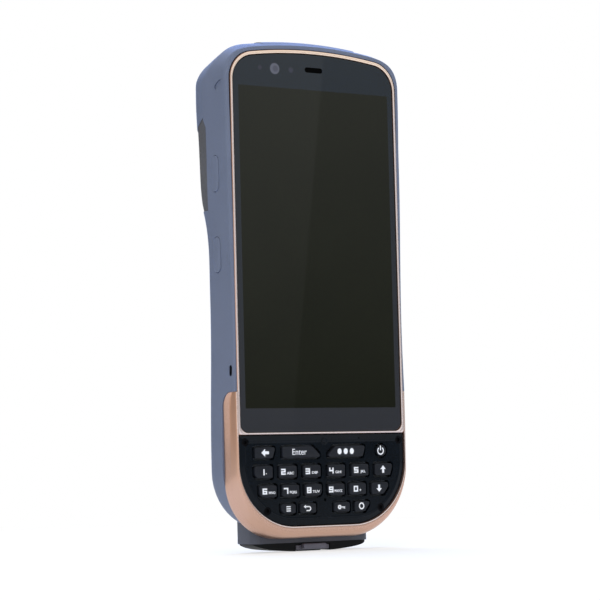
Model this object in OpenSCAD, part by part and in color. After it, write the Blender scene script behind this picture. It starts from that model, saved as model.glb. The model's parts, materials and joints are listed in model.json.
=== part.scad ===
// Handheld data terminal with a scan head, a 5.5 inch screen and a 20-key pad.
// Upright: X across, front of the glass towards -Y, Z along the length.
// The origin is the middle of the bounding box's bottom face.
// Depths are counted from the front of the cover glass, towards the back.

/* [Body] */
// How far the housing stands out beside the metal frame
side_lip = 1; // [0.7:0.1:8]
// How much deeper the scan head is than the grip
head_step = 7.5; // [6.2:0.1:12]
// How far each side draws in at the waist
waist_in = 0.9; // [0:0.1:1]
// Wall thickness of the rear housing and the battery door
wall = 1.8; // [1.4:0.1:2]
// Round of the upright edges at the back of the grip
back_round = 6; // [4:0.5:8]
// Radius of the shallow arch across the head
crown_r = 187; // [120:5:300]

/* [Screen] */
// Width of the visible picture
picture_w = 68; // [56:0.5:82]
// Height of the visible picture
picture_h = 121; // [100:0.5:146]
// Thickness of the cover glass
glass_t = 1.1; // [0.7:0.1:1.4]
// Border of the glass beside the picture
glass_side = 2.35; // [1.5:0.05:3]
// Border of the glass under the picture
glass_chin = 8.9; // [7:0.1:11]
// Border of the glass above the picture
glass_forehead = 13.6; // [11.5:0.1:18]
// Thickness of the display panel
display_t = 1.8; // [1.2:0.1:2]

/* [Metal frame] */
// Width of the rim beside the glass
rim_w = 1.25; // [1:0.05:1.6]
// How far the rim stands in front of the glass
rim_proud = 0.5; // [0.2:0.1:0.8]
// Height of the bar between the glass and the keypad
bar_h = 1; // [0.8:0.1:2]
// Depth of the cheeks beside the keypad
cheek_d = 8.3; // [7:0.1:9]
// Height of the cheeks above the bar
cheek_rise = 15.1; // [8:0.1:18]
// Corner radius of the lower band
band_r = 23; // [20:0.1:28]
// Height of the lower band under the keypad
band_h = 4.7; // [3.5:0.1:5.5]

/* [Keypad] */
// Thickness of the keypad panel
panel_t = 2.3; // [2:0.1:3]
// Height of the panel
panel_h = 34.1; // [28.5:0.1:41]
// Gap all round a key
key_gap = 0.3; // [0.2:0.05:0.4]
// Travel of a key
key_travel = 0.3; // [0.2:0.05:0.4]
// How far the keys stand in front of the panel
key_proud = 0.6; // [0.4:0.1:1]
// Screw head radius
screw_head_r = 1.6; // [1.3:0.1:1.8]
// Screw shank radius
screw_r = 0.8; // [0.6:0.05:0.9]

/* [Side keys] */
// Height of a side key across the thickness of the body
side_key_w = 4.8; // [4:0.2:6.4]
// Length of the upper side key
side_key_long = 13.6; // [11:0.1:18]
// Length of the lower side keys
side_key_short = 13.4; // [10:0.1:16]
// How far the side keys stand out of the wall
side_key_proud = 0.5; // [0.3:0.1:1]
// Travel of a side key
side_key_travel = 0.3; // [0.2:0.05:0.4]

/* [Foot and port] */
// Width of the foot
foot_w = 52; // [44:0.5:62]
// How far the foot stands back from the lower band
foot_step = 0.5; // [0.2:0.1:1.5]
// Thickness of the rubber sole
sole_t = 3.3; // [3:0.1:4]
// Width of the port cover
cover_w = 15; // [13:0.5:17]
// Width of the finger tab on the port cover
tab_w = 10.2; // [8:0.2:12]
// Radius of the port cover's hinge pin
pin_r = 0.5; // [0.4:0.05:0.6]

/* [Battery] */
// Width of the battery pack
battery_w = 56; // [47:0.5:62]
// Thickness of the battery pack in the grip
battery_t = 10.2; // [8.5:0.1:12.2]
// Bottom of the battery door above the sole
door_bottom = 62; // [56:1:74]
// Distance from the crown down to the battery door
door_drop = 32.1; // [30:0.1:38]

/* [Scan head] */
// Width of the scan window
window_w = 32; // [26:0.5:38]
// Depth of the scan window
window_d = 9.5; // [8:0.5:10]
// Radius of the rear camera window
camera_r = 4.6; // [3:0.1:5]

/* [Hidden] */
fit = 0.1;
seam = 0.15;
thin = 0.01;
panel_front = -0.3;

// The column of front pieces, from the bottom up
band_bottom = 5.1;
panel_bottom = band_bottom + band_h;
panel_top = panel_bottom + panel_h;
glass_bottom = panel_top + bar_h;
picture_bottom = glass_bottom + glass_chin;
picture_top = picture_bottom + picture_h;
glass_top = picture_top + glass_forehead;
rim_top = glass_top + 1.7;
body_h = glass_top + 5.7;
cheek_top = glass_bottom + cheek_rise;

glass_hw = picture_w / 2 + glass_side;
rim_hw = glass_hw + rim_w;
band_hw = rim_hw + 0.7;
panel_hw = band_hw - 0.9;
top_hw = band_hw + side_lip;
low_hw = top_hw - 0.1;

glass_r = 10;
rim_r = glass_r + 1;
head_r = 14;
low_r = band_r - 1;
panel_r = band_r + 1;
low_bottom = band_bottom + 3.4;
waist_z = 86;
waist_up = 60;
waist_down = 50;

// Depths of the stack of pieces behind the glass
housing_front = 0.3;
ledge_back = glass_t + 1.1;
display_back = glass_t + display_t;
frame_back = display_back + 0.8;
board_front = frame_back + 2.7;
board_back = board_front + 1;
tray_back = board_back + 1;
battery_gap = 0.6;
grip_d = tray_back + battery_t + battery_gap + wall;
head_d = grip_d + head_step;
front_reach = max(rim_proud, key_proud - panel_front);
glass_y = (front_reach - head_d) / 2;
panel_back = panel_front + panel_t;
band_ledge = panel_back + 1.2;
ledge_w = 1.2;
band_wall = 1.5;
seat_t = 1.5;
board_inset = ledge_w + fit;
cheek_r = 5.5;
flange_t = 0.5;
dome_front = panel_back + fit + flange_t + key_travel + 0.05;
mat_front = dome_front + 0.4;
mat_back = mat_front + 0.4;
keyboard_back = mat_back + 1;
key_front = panel_front - key_proud;
mid_hw = min(glass_hw - 0.05, top_hw - waist_in - wall - 0.3);
frame_bottom = glass_bottom + 2.1;

// Side profile of the head
slope_low = body_h - 82.1;
slope_high = body_h - 58.1;
bulge_z = body_h - 26.1;
shoulder_d = head_d - 8.5;
side_flat_d = head_d - 12;
side_draft = 4;
head_round = 5;
door_parting = grip_d - 5.5;
door_top = body_h - door_drop;
door_wide_bottom = body_h - 65.1;
door_w = battery_w + 7;

// Foot, sole and port
foot_front = cheek_d + foot_step;
foot_back = grip_d - 0.2;
foot_round = 1;
foot_hw = foot_w / 2;
sole_round = 3;
hinge_d = foot_back - 3.4;
hinge_z = 1.5;
cover_t = 1.8;
tab_reach = 1.9;
tab_h = 2.2;
dock_z = sole_t + 6;
socket_w = 8.9;
socket_t = 3.2;
port_d = (foot_front + hinge_d) / 2 + 0.9;

// Screws through the keypad panel: distance from the middle and height
screw_turn = 56;
screw_inset = 2.17;
SCREWS = [[panel_hw - 2.7, panel_top - 2.6],
    [panel_hw - panel_r + (panel_r - screw_inset) * cos(screw_turn),
        panel_bottom + panel_r - (panel_r - screw_inset) * sin(screw_turn)]];
boss_r = 2.1;

// The keypad's layout is given for a panel of this half width and height, and follows the real ones
layout_hw = 37.4;
layout_h = 34.1;
spread = panel_hw / layout_hw;
row_z = [for (drop = [6.6, 13.8, 20.9, 27.6]) panel_top - drop * panel_h / layout_h];

// One corner of a key: width and height of the cut, and steps along it (1 is a straight cut)
R = [0.8, 0.8, 3];
BIG = [1.9, 1.9, 4];
LEAN = [1, 3, 1];
CUT = [3.3, 3, 1];

// name, distance from the middle, row, width, height, corners from lower left anticlockwise
KEYS = [
    ["key_back", -26.5, 0, 8.7, 4, R, LEAN, R, R],
    ["key_enter", -10.4, 0, 16.6, 4.1, R, R, CUT, R],
    ["key_more", 10.2, 0, 16.6, 4.1, R, LEAN, R, CUT],
    ["key_power", 26.3, 0, 4.4, 4.4, [2.2, 2.2, 6], [2.2, 2.2, 6], [2.2, 2.2, 6], [2.2, 2.2, 6]],
    ["key_1", -27.1, 1, 7.9, 4.5, BIG, R, R, R],
    ["key_2", -16.4, 1, 7.8, 4.5, R, R, R, R],
    ["key_3", -5.7, 1, 7.8, 4.5, R, R, R, R],
    ["key_4", 5.4, 1, 7.8, 4.5, R, R, R, R],
    ["key_5", 16.2, 1, 7.8, 4.5, R, R, R, R],
    ["key_up", 27.1, 1, 8, 4.5, R, LEAN, R, R],
    ["key_6", -25.4, 2, 7.6, 4.4, BIG, R, R, R],
    ["key_7", -15.4, 2, 7.6, 4.4, R, R, R, R],
    ["key_8", -5.3, 2, 7.6, 4.4, R, BIG, R, R],
    ["key_9", 5.1, 2, 7.6, 4.4, BIG, R, R, R],
    ["key_0", 14.9, 2, 7.6, 4.4, R, R, R, R],
    ["key_down", 25.2, 2, 7.8, 4.4, R, [2.2, 3, 1], R, R],
    ["key_menu", -16.6, 3, 6.4, 3.6, BIG, R, R, R],
    ["key_undo", -7.8, 3, 7.1, 3.6, R, R, R, R],
    ["key_lock", 7.5, 3, 7.1, 3.6, R, R, R, R],
    ["key_ok", 16.7, 3, 6.7, 3.7, R, [2.2, 2.6, 1], R, R]
];

// Side keys: middle height, length, depth of the middle
UPPER_KEY = [body_h - 52.1, side_key_long, 9.1];
LOWER_KEY = [body_h - 82.5, side_key_short, 9.9];

bezel_front = 7;
bezel_back = bezel_front + window_d + 4;
bezel_top = body_h - 0.6;
pad_w = window_w + 9.6;
battery_z = door_bottom + 5;
battery_top = door_top - 6;
battery_step = slope_high + 1;
battery_back = head_d - 2.5 - wall;
board_hw = top_hw - 6.3;
camera_z = body_h - 21.1;
camera_d = head_d - 1.4;
flash_x = camera_r + 4.4;
speaker_z = 46;

$fn = 48;

// ---- outlines ----

function arc(cx, cz, r, from, to, steps) =
    [for (i = [0:steps]) let(a = from + (to - from) * i / steps) [cx + r * cos(a), cz + r * sin(a)]];

// Right half of an outline, closed by its mirror image
function both_sides(half) = concat(half, [for (i = [len(half) - 1:-1:0])
    if (half[i][0] > thin) [-half[i][0], half[i][1]]]);

// Corner and crown of a top end, from the side to the middle
function top_end(hw, top, r, crown) =
    let(low = top - crown,
        cz = low + sqrt(pow(crown - r, 2) - pow(hw - r, 2)),
        meet = atan2(cz - low, hw - r))
    concat(arc(hw - r, cz, r, 0, meet, 8),
        [for (i = [1:5]) let(a = meet + (90 - meet) * i / 5) [crown * cos(a), low + crown * sin(a)]]);

// Half width of the housing at a height
function side_hw(z) =
    let(end = z > waist_z ? waist_up : waist_down,
        wide = z > waist_z ? top_hw : low_hw,
        near = abs(z - waist_z) < end ? pow(cos(90 * (z - waist_z) / end), 2) : 0)
    wide - waist_in * near;

function body_outline(o = 0) = both_sides(concat(
    arc(low_hw - low_r, low_bottom + low_r, low_r + o, -90, 0, 10),
    [for (z = [waist_z - waist_down + 8:14:waist_z + waist_up]) [side_hw(z) + o, z]],
    top_end(top_hw + o, body_h - 0.3 + o, head_r + o, crown_r + o)));

function rim_outline(o = 0) = both_sides(concat(
    [[rim_hw + o, panel_top - 4 - o]],
    top_end(rim_hw + o, rim_top + o, rim_r + o, crown_r + o)));

function glass_outline(o = 0) = both_sides(concat(
    arc(glass_hw - 2.8, glass_bottom + 2.8, 2.8 + o, -90, 0, 4),
    top_end(glass_hw + o, glass_top + o, glass_r + o, crown_r + o)));

function band_outline(o = 0) = both_sides(concat(
    arc(band_hw - band_r, band_bottom + band_r, band_r + o, -90, 0, 12),
    [[band_hw + o, cheek_top + 8]]));

function panel_outline(o = 0) =
    let(tip = max(1 + o, 0.3))
    both_sides(concat(
        arc(panel_hw - panel_r, panel_bottom + panel_r, panel_r + o, -90, 0, 12),
        arc(panel_hw + o - tip, panel_top + o - tip, tip, 0, 90, 3)));

// Outline of a key, its corners taken from the key's own row
function key_outline(k, o = 0) =
    let(w = spread * k[3] / 2, h = k[4] / 2)
    concat(
        key_corner(-w, -h, k[5], 180, o), key_corner(w, -h, k[6], 270, o),
        key_corner(w, h, k[7], 0, o), key_corner(-w, h, k[8], 90, o));
function key_corner(x, z, c, from, o) =
    [for (i = [0:c[2]]) let(a = from + 90 * i / c[2])
        [x - sign(x) * c[0] + (c[0] + o) * cos(a), z - sign(z) * c[1] + (c[1] + o) * sin(a)]];

// Side profiles: depth behind the glass against height
function grip_profile(o = 0) = [
    [-2, -1], [grip_d + o - 7, -1], [grip_d + o - 3, low_bottom + 1 - o], [grip_d + o, low_bottom + 6 - o],
    [grip_d + o, body_h - 20], [-2, body_h - 20]];

function head_profile(o = 0) = concat(
    [[housing_front - 2, slope_low], [grip_d + o - 3, slope_low],
     [grip_d + o, slope_low + 3], [grip_d + 2 + o, slope_low + 9],
     [head_d - 2.9 + o, slope_high - 4], [head_d - 2.3 + o, slope_high],
     [head_d - 0.9 + o, bulge_z - 10]],
    [for (i = [0:9]) [shoulder_d + (head_d + o - shoulder_d) * cos(10 * i),
        bulge_z + (body_h + o - bulge_z) * sin(10 * i)]],
    [[9, body_h + o - 0.1], [5, body_h + o - 0.5], [2.2, body_h + o - 1.2],
     [housing_front + (o < 0 ? 1 : 0), body_h + o - 2.4], [housing_front - 2, body_h + o - 4]]);

// Plan sections, width against depth
module grip_section(o = 0) {
    translate([-top_hw - 2, -2])
        square([2 * top_hw + 4, grip_d - back_round + 2]);
    translate([-top_hw + back_round - o, -2])
        square([2 * (top_hw - back_round + o), grip_d + 2 + o]);
    for (side = [-1, 1])
        translate([side * (top_hw - back_round), grip_d - back_round])
            circle(r = back_round + o);
}

module head_section(o = 0) {
    slant = atan2(side_draft, head_d - side_flat_d);
    corner_x = top_hw - side_draft + head_round * tan(slant) - head_round / cos(slant);
    half = concat([[top_hw + 2, -2], [top_hw + 2, side_flat_d - 6], [top_hw + o, side_flat_d - 6],
        [top_hw + o, side_flat_d]], arc(corner_x, head_d - head_round, head_round + o, slant, 90, 8));
    polygon(concat(half, [for (i = [len(half) - 1:-1:0]) [-half[i][0], half[i][1]]]));
}

// ---- helpers ----

// Extrudes an outline of width and height between two depths
module slab(front, back) {
    translate([0, glass_y + back, 0])
        rotate([90, 0, 0])
            linear_extrude(back - front)
                children();
}

// Extrudes a profile of depth and height across the width
module across(half) {
    translate([-half, glass_y, 0])
        rotate([90, 0, 90])
            linear_extrude(2 * half)
                children();
}

// Extrudes a section of width and depth between two heights
module upright(low, high) {
    translate([0, glass_y, low])
        linear_extrude(high - low)
            children();
}

// A box given by its half width, its depths and its heights
module block(hw, front, back, low, high, x = 0) {
    translate([x - hw, glass_y + front, low])
        cube([2 * hw, back - front, high - low]);
}

// A round bar along the depth
module bar(x, z, r, front, back) {
    translate([x, glass_y + back, z])
        rotate([90, 0, 0])
            cylinder(r = r, h = back - front);
}

// A slot with round ends along Z, cut through a side wall
module side_slot(side, key, w, l, inner, outer) {
    translate([side * (inner + outer) / 2, glass_y + key[2], key[0]])
        rotate([0, 90, 0])
            linear_extrude(outer - inner, center = true)
                union() {
                    square([l - w, w], center = true);
                    for (end = [-1, 1])
                        translate([end * (l - w) / 2, 0])
                            circle(r = w / 2);
                }
}

// ---- housing ----

// The rounded body, grown or shrunk by an offset
module body_form(o = 0) {
    intersection() {
        slab(housing_front, grip_d + 2)
            polygon(body_outline(o));
        across(top_hw + 4)
            polygon(grip_profile(o));
        upright(-2, body_h)
            grip_section(o);
    }
    intersection() {
        slab(housing_front, head_d + 2)
            polygon(body_outline(o));
        across(top_hw + 4)
            polygon(head_profile(o));
        upright(slope_low - 1, body_h + 2)
            head_section(o);
    }
}

// The space that the battery door takes out of the housing
module door_space(o = 0) {
    block(top_hw + 5, door_parting - o, head_d + 5, door_wide_bottom - o, door_top + o);
    block(door_w / 2 + o, door_parting - o, head_d + 5, door_bottom - o, door_wide_bottom + 2);
}

// Everything in front of the back of the metal cheeks and the lower band, over the whole width
module cheek_space(o = 0) {
    across(top_hw + 4)
        polygon(concat([[-2, -1], [cheek_d + o, -1]],
            arc(cheek_d - cheek_r, cheek_top - cheek_r, cheek_r + o, 0, 90, 8), [[-2, cheek_top + o]]));
}

// The metal cheeks and the lower band, before they are hollowed
module band_form() {
    intersection() {
        slab(-rim_proud, cheek_d)
            polygon(band_outline());
        cheek_space();
    }
}

// The rim on which the cheeks sit, inside the housing's outline
module cheek_seat() {
    difference() {
        intersection() {
            body_form();
            block(top_hw + 2, cheek_d, cheek_d + seat_t, 0, cheek_top);
        }
        slab(cheek_d - 1, cheek_d + seat_t + 1)
            polygon(band_outline(-band_wall - 2 * fit));
    }
}

module foot_form(hw, front, back, low, high, r) {
    upright(low, high)
        union() {
            translate([-hw + r, front])
                square([2 * hw - 2 * r, back - front]);
            translate([-hw, front + r])
                square([2 * hw, back - front - 2 * r]);
            for (x = [-1, 1], d = [front + r, back - r])
                translate([x * (hw - r), d])
                    circle(r = r);
        }
}

module rear_housing() {
    color("slategray")
        difference() {
            union() {
                difference() {
                    union() {
                        body_form();
                        translate([0, 0, 0.35])
                            intersection() {
                                body_form();
                                block(pad_w / 2, 2.6, 25, body_h - 12, body_h + 1);
                            }
                        foot_form(foot_hw, foot_front, foot_back, sole_t, band_bottom + 16, foot_round);
                    }
                    intersection() {
                        body_form(-wall);
                        block(top_hw, ledge_back, head_d, 0, body_h);
                    }
                    block(foot_hw - wall, foot_front + wall, foot_back - wall, 0, low_bottom + 6);
                }
                cheek_seat();
                for (s = SCREWS, side = [-1, 1])
                    bar(side * s[0], s[1], boss_r, keyboard_back, grip_d - wall / 2);
            }
            slab(-1, ledge_back)
                polygon(rim_outline(fit));
            cheek_space(fit);
            door_space(seam);
            for (side = [-1, 1], key = [UPPER_KEY, LOWER_KEY])
                side_slot(side, key, side_key_w + 2 * fit, key[1] + 2 * fit, top_hw - 6, top_hw + 2);
            for (s = SCREWS, side = [-1, 1])
                bar(side * s[0], s[1], screw_r, keyboard_back - 1, keyboard_back + 7);
            // microphone slot in the left side
            side_slot(-1, [68.5, 0, 2.6], 1.4, 4.4, top_hw - 4, top_hw + 2);
            // scan window and its bezel, in the top
            block(window_w / 2 + 2 + fit, bezel_front - fit, bezel_back + fit, bezel_top - 3.4, body_h + 2);
            bar(0, camera_z, camera_r + fit, camera_d - 4, head_d + 2);
            bar(flash_x, camera_z, 2 + fit, camera_d - 4, head_d + 2);
            for (i = [-2:2])
                block(0.6, grip_d - wall - 1, grip_d + 1, speaker_z - 4, speaker_z + 4, 3 * i);
        }
}

module front_frame() {
    color("rosybrown")
        difference() {
            union() {
                slab(-rim_proud, ledge_back)
                    polygon(rim_outline());
                band_form();
            }
            slab(-1, glass_t)
                polygon(glass_outline(fit));
            slab(0, ledge_back + 1)
                polygon(glass_outline(-1));
            slab(-1, panel_back)
                polygon(panel_outline(fit));
            slab(0, band_ledge + 1)
                polygon(panel_outline(-ledge_w));
            slab(band_ledge, cheek_d + 1)
                polygon(band_outline(-band_wall));
            block(band_hw - band_wall - fit, ledge_back, band_ledge + 1, frame_bottom - 2, cheek_top + 9);
        }
}

module battery_door() {
    color([0.22, 0.23, 0.25])
        intersection() {
            difference() {
                body_form();
                body_form(-wall);
            }
            door_space();
        }
}

// ---- screen ----

module cover_glass() {
    color([0.06, 0.07, 0.09])
        difference() {
            slab(0, glass_t)
                polygon(glass_outline());
            earpiece_slot(0, 0, -1, glass_t + 1);
        }
}

module earpiece_slot(x, o, front, back) {
    slab(front, back)
        translate([x, glass_top - 5.9])
            union() {
                square([6.1, 2 + 2 * o], center = true);
                for (end = [-1, 1])
                    translate([end * 3.05, 0])
                        circle(r = 1 + o);
            }
}

module display_panel() {
    color([0.1, 0.12, 0.1])
        block(picture_w / 2 + 0.6, glass_t, display_back, picture_bottom - 3.2, picture_top + 1.6);
}

module mid_frame() {
    color("silver")
        difference() {
            union() {
                intersection() {
                    slab(ledge_back, frame_back)
                        polygon(glass_outline(mid_hw - glass_hw));
                    block(top_hw, 0, frame_back + 1, frame_bottom, body_h);
                }
                for (x = [-28, 28] * spread, z = [frame_bottom + 13, battery_step - 17, glass_top - 18.4])
                    bar(x, z, 2, frame_back - 0.5, board_front);
            }
            block(picture_w / 2 + 0.8, glass_t, display_back, picture_bottom - 3.4, picture_top + 1.8);
            block(5.6, 0, ledge_back + 1.2, glass_top - 8.6, glass_top - 3.2);
            bar(-17.6, glass_top - 6.5, 3.2, 0, frame_back + 1);
        }
}

module earpiece() {
    color("dimgray")
        block(5.4, glass_t, ledge_back + 1.1, glass_top - 8.4, glass_top - 3.4);
}

module earpiece_mesh() {
    color([0.05, 0.05, 0.06])
        earpiece_slot(0, -fit, 0.3, glass_t);
}

module front_camera() {
    color([0.15, 0.15, 0.2])
        bar(-17.6, glass_top - 6.5, 3, glass_t, board_front);
}

// ---- inside ----

module main_board() {
    color("darkgreen") {
        block(board_hw, board_front, board_back, frame_bottom + 3, body_h - 10);
        block(11, board_back, board_back + 1.6, body_h - 34, body_h - 21, -16);
        block(9, board_back, board_back + 1.6, body_h - 34, body_h - 21, 15);
    }
}

module battery_tray() {
    color([0.12, 0.12, 0.13])
        difference() {
            block(battery_w / 2 + 1.2, board_back, tray_back + battery_t - 1,
                battery_z - 1.2, battery_top + 1.2);
            block(battery_w / 2 + 0.2, tray_back, grip_d + 1, battery_z - 0.2, battery_top + 0.2);
        }
}

module battery_pack() {
    color([0.16, 0.17, 0.2])
        union() {
            block(battery_w / 2, tray_back, tray_back + battery_t, battery_z, battery_top);
            block(battery_w / 2 - 2, tray_back + battery_t - 1, battery_back, battery_step, battery_top);
        }
}

module scan_engine() {
    color([0.1, 0.1, 0.11])
        difference() {
            union() {
                block(window_w / 2 - 1.5, bezel_front + 1, bezel_back - 2.5, body_h - 18, body_h - 5);
                for (side = [-1, 1])
                    block(3, board_back, bezel_front + 1.5, body_h - 17, body_h - 10.5, side * 11);
            }
            bar_up(-7, bezel_front + 6.5, 4, body_h - 9, body_h - 4);
            bar_up(6, bezel_front + 6.5, 3, body_h - 9, body_h - 4);
        }
}

module bar_up(x, d, r, low, high) {
    translate([x, glass_y + d, low])
        cylinder(r = r, h = high - low);
}

module scan_bezel() {
    color([0.12, 0.13, 0.15])
        difference() {
            block(window_w / 2 + 2, bezel_front, bezel_back, bezel_top - 3.4, bezel_top);
            block(window_w / 2, bezel_front + 2, bezel_back - 2, bezel_top - 1.8, body_h + 1);
            block(window_w / 2 - 1.5, bezel_front + 3, bezel_back - 3, body_h - 5, body_h);
        }
}

module scan_window() {
    color([0.3, 0.05, 0.06])
        block(window_w / 2 - fit, bezel_front + 2 + fit, bezel_back - 2 - fit,
            bezel_top - 1.8, bezel_top - 0.6);
}

module rear_camera() {
    color([0.08, 0.08, 0.09])
        union() {
            bar(0, camera_z, camera_r - 1, camera_d - 3, camera_d - 1);
            block(camera_r, camera_d - 5.2, camera_d - 3, camera_z - camera_r, camera_z + camera_r);
        }
}

module camera_window() {
    color([0.05, 0.06, 0.08])
        bar(0, camera_z, camera_r, camera_d - 1, camera_d);
}

module flash_lens() {
    color([0.95, 0.93, 0.85])
        bar(flash_x, camera_z, 2, camera_d - 1.6, camera_d);
}

module loudspeaker() {
    color([0.1, 0.1, 0.1])
        block(10, grip_d - wall - 3.8, grip_d - wall, speaker_z - 6, speaker_z + 6);
}

// ---- keypad ----

module keypad_panel() {
    color([0.06, 0.06, 0.07])
        difference() {
            slab(panel_front, panel_back)
                polygon(panel_outline());
            for (k = KEYS)
                slab(panel_front - 1, panel_back + 1)
                    translate([spread * k[1], row_z[k[2]]])
                        polygon(key_outline(k, key_gap));
            for (s = SCREWS, side = [-1, 1]) {
                bar(side * s[0], s[1], screw_head_r + fit, panel_front - 1, panel_back - 0.8);
                bar(side * s[0], s[1], screw_r + fit, panel_front - 1, panel_back + 1);
            }
        }
}

module keypad_mat() {
    color([0.25, 0.26, 0.28])
        difference() {
            union() {
                slab(mat_front, mat_back)
                    polygon(panel_outline(-board_inset));
                for (k = KEYS)
                    bar(spread * k[1], row_z[k[2]], 1.4, dome_front, mat_front + fit);
            }
            screw_holes(mat_front - 1, mat_back + 1, fit);
        }
}

module keypad_board() {
    color("darkgreen")
        difference() {
            slab(mat_back, keyboard_back)
                polygon(panel_outline(-board_inset));
            screw_holes(mat_back - 1, keyboard_back + 1, fit);
        }
}

module screw_holes(front, back, gap) {
    for (s = SCREWS, side = [-1, 1])
        bar(side * s[0], s[1], screw_r + gap, front, back);
}

module keypad_flex() {
    color("peru")
        across(5)
            polygon([[keyboard_back, 36], [keyboard_back + 0.3, 36],
                [keyboard_back + 0.3, panel_top + 0.6], [board_front, frame_bottom + 2.4],
                [board_front, frame_bottom + 8], [board_front - 0.3, frame_bottom + 8],
                [board_front - 0.3, frame_bottom + 2.7], [keyboard_back, panel_top + 0.9]]);
}

module key_cap(name) {
    k = KEYS[search([name], KEYS)[0]];
    color([0.13, 0.13, 0.15])
        translate([spread * k[1], 0, row_z[k[2]]])
            union() {
                slab(key_front, panel_back + fit)
                    polygon(key_outline(k));
                slab(panel_back + fit, panel_back + fit + flange_t)
                    polygon(key_outline(k, key_gap + 0.3));
            }
}

module screw(s, side) {
    color([0.2, 0.2, 0.22])
        difference() {
            union() {
                bar(side * s[0], s[1], screw_head_r, panel_back - 2, panel_back - 0.8);
                bar(side * s[0], s[1], screw_r, panel_back - 1, keyboard_back + 6.5);
            }
            slab(panel_back - 3, panel_back - 1.4)
                translate([side * s[0], s[1]])
                    circle(r = 0.8, $fn = 6);
        }
}

// ---- side keys ----

module side_key(side, key) {
    out = side_hw(key[0]) + side_key_proud;
    inner = key_inner(key);
    color("lightslategray")
        union() {
            side_slot(side, key, side_key_w, key[1], inner - 0.6, out);
            translate([side * (inner - 0.45), glass_y + key[2], key[0]])
                cube([0.7, side_key_w - 1, key[1] + 1.6], center = true);
        }
}

module side_switches(side) {
    low = LOWER_KEY[0] - 4;
    high = UPPER_KEY[0] + 4;
    color("gold") {
        translate([side * (board_hw + 0.2), glass_y + UPPER_KEY[2], (low + high) / 2])
            cube([0.4, 4, high - low], center = true);
        for (key = [UPPER_KEY, LOWER_KEY])
            translate([side * (board_hw + 0.3 + switch_reach(key) / 2), glass_y + key[2], key[0]])
                cube([switch_reach(key), 3, 4], center = true);
    }
}

// Inner face of the wall at the narrower end of a side key
function key_inner(key) =
    let(half = key[1] / 2 + 1)
    min(side_hw(key[0] - half), side_hw(key[0] + half)) - wall;

// From the strip to just short of the pressed key
function switch_reach(key) = key_inner(key) - 0.8 - side_key_travel - fit - board_hw - 0.3;

// ---- foot and port ----

module foot_sole() {
    color([0.05, 0.05, 0.06])
        difference() {
            intersection() {
                foot_form(foot_hw, foot_front, foot_back, 0, sole_t, foot_round);
                slab(0, grip_d)
                    polygon(both_sides(concat(
                        arc(foot_hw - sole_round, sole_round, sole_round, -90, 0, 5), [[foot_hw, sole_t]])));
            }
            // recess of the port cover, open to the front and below
            block(cover_w / 2 + 0.25, foot_front - 1, hinge_d + 2.2, -1, cover_t + 0.8);
            block(socket_w / 2 + 0.8, port_d - 2.4, port_d + 2.4, 0, sole_t + 1);
            pin_bar(pin_r + 0.05, cover_w / 2 + 2.2);
            for (x = contact_x())
                bar_up(x, port_d, 1.1, -1, sole_t + 1);
        }
}

function contact_x() = [7 - foot_hw, 12 - foot_hw, foot_hw - 12, foot_hw - 7];

module pin_bar(r, hw) {
    translate([-hw, glass_y + hinge_d, hinge_z])
        rotate([0, 90, 0])
            cylinder(r = r, h = 2 * hw);
}

module port_cover() {
    color([0.45, 0.46, 0.5])
        difference() {
            union() {
                block(cover_w / 2, foot_front + 0.2, hinge_d, 0.5, 0.5 + cover_t);
                block(tab_w / 2, foot_front - 1, foot_front + 1, 0.5, 0.5 + cover_t);
                block(tab_w / 2, foot_front - tab_reach, foot_front - seam, 0.7, 0.7 + tab_h);
                intersection() {
                    pin_bar(0.5 + cover_t - hinge_z + 0.2, cover_w / 2);
                    block(cover_w, hinge_d - 3, hinge_d + 3, 0.4, 3);
                }
            }
            pin_bar(pin_r + 0.05, cover_w);
        }
}

module port_pin() {
    color("silver")
        pin_bar(pin_r, cover_w / 2 + 2);
}

module usb_socket() {
    color("gray")
        difference() {
            block(socket_w / 2, port_d - socket_t / 2, port_d + socket_t / 2, sole_t - 0.4, dock_z);
            block(socket_w / 2 - 0.4, port_d - socket_t / 2 + 0.4, port_d + socket_t / 2 - 0.4,
                0, dock_z - 1);
        }
}

module charge_contacts() {
    color("goldenrod")
        for (x = contact_x())
            bar_up(x, port_d, 1, 0.3, dock_z);
}

module dock_board() {
    color("darkgreen")
        block(foot_hw - wall - 0.3, foot_front + wall + 0.3, foot_back - wall - 0.3, dock_z, dock_z + 1);
}

rear_housing();
front_frame();
cover_glass();
display_panel();
mid_frame();
main_board();
battery_tray();
battery_pack();
battery_door();
scan_engine();
scan_bezel();
scan_window();
rear_camera();
camera_window();
flash_lens();
earpiece();
earpiece_mesh();
front_camera();
keypad_panel();
keypad_mat();
keypad_board();
keypad_flex();
for (k = KEYS)
    key_cap(k[0]);
screw(SCREWS[0], -1);  // screw_upper_left
screw(SCREWS[0], 1);  // screw_upper_right
screw(SCREWS[1], -1);  // screw_lower_left
screw(SCREWS[1], 1);  // screw_lower_right
side_key(-1, UPPER_KEY);  // left_key_upper
side_key(-1, LOWER_KEY);  // left_key_lower
side_key(1, UPPER_KEY);  // right_key_upper
side_key(1, LOWER_KEY);  // right_key_lower
side_switches(-1);  // left_switches
side_switches(1);  // right_switches
foot_sole();
port_cover();
port_pin();
usb_socket();
charge_contacts();
dock_board();
loudspeaker();
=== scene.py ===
import json
from math import asin, atan2, cos, degrees, pi, radians, sin, sqrt, tau

import bmesh
import bpy
from bmesh.types import BMEdge, BMFace, BMVert
from mathutils import Matrix, Vector


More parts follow.
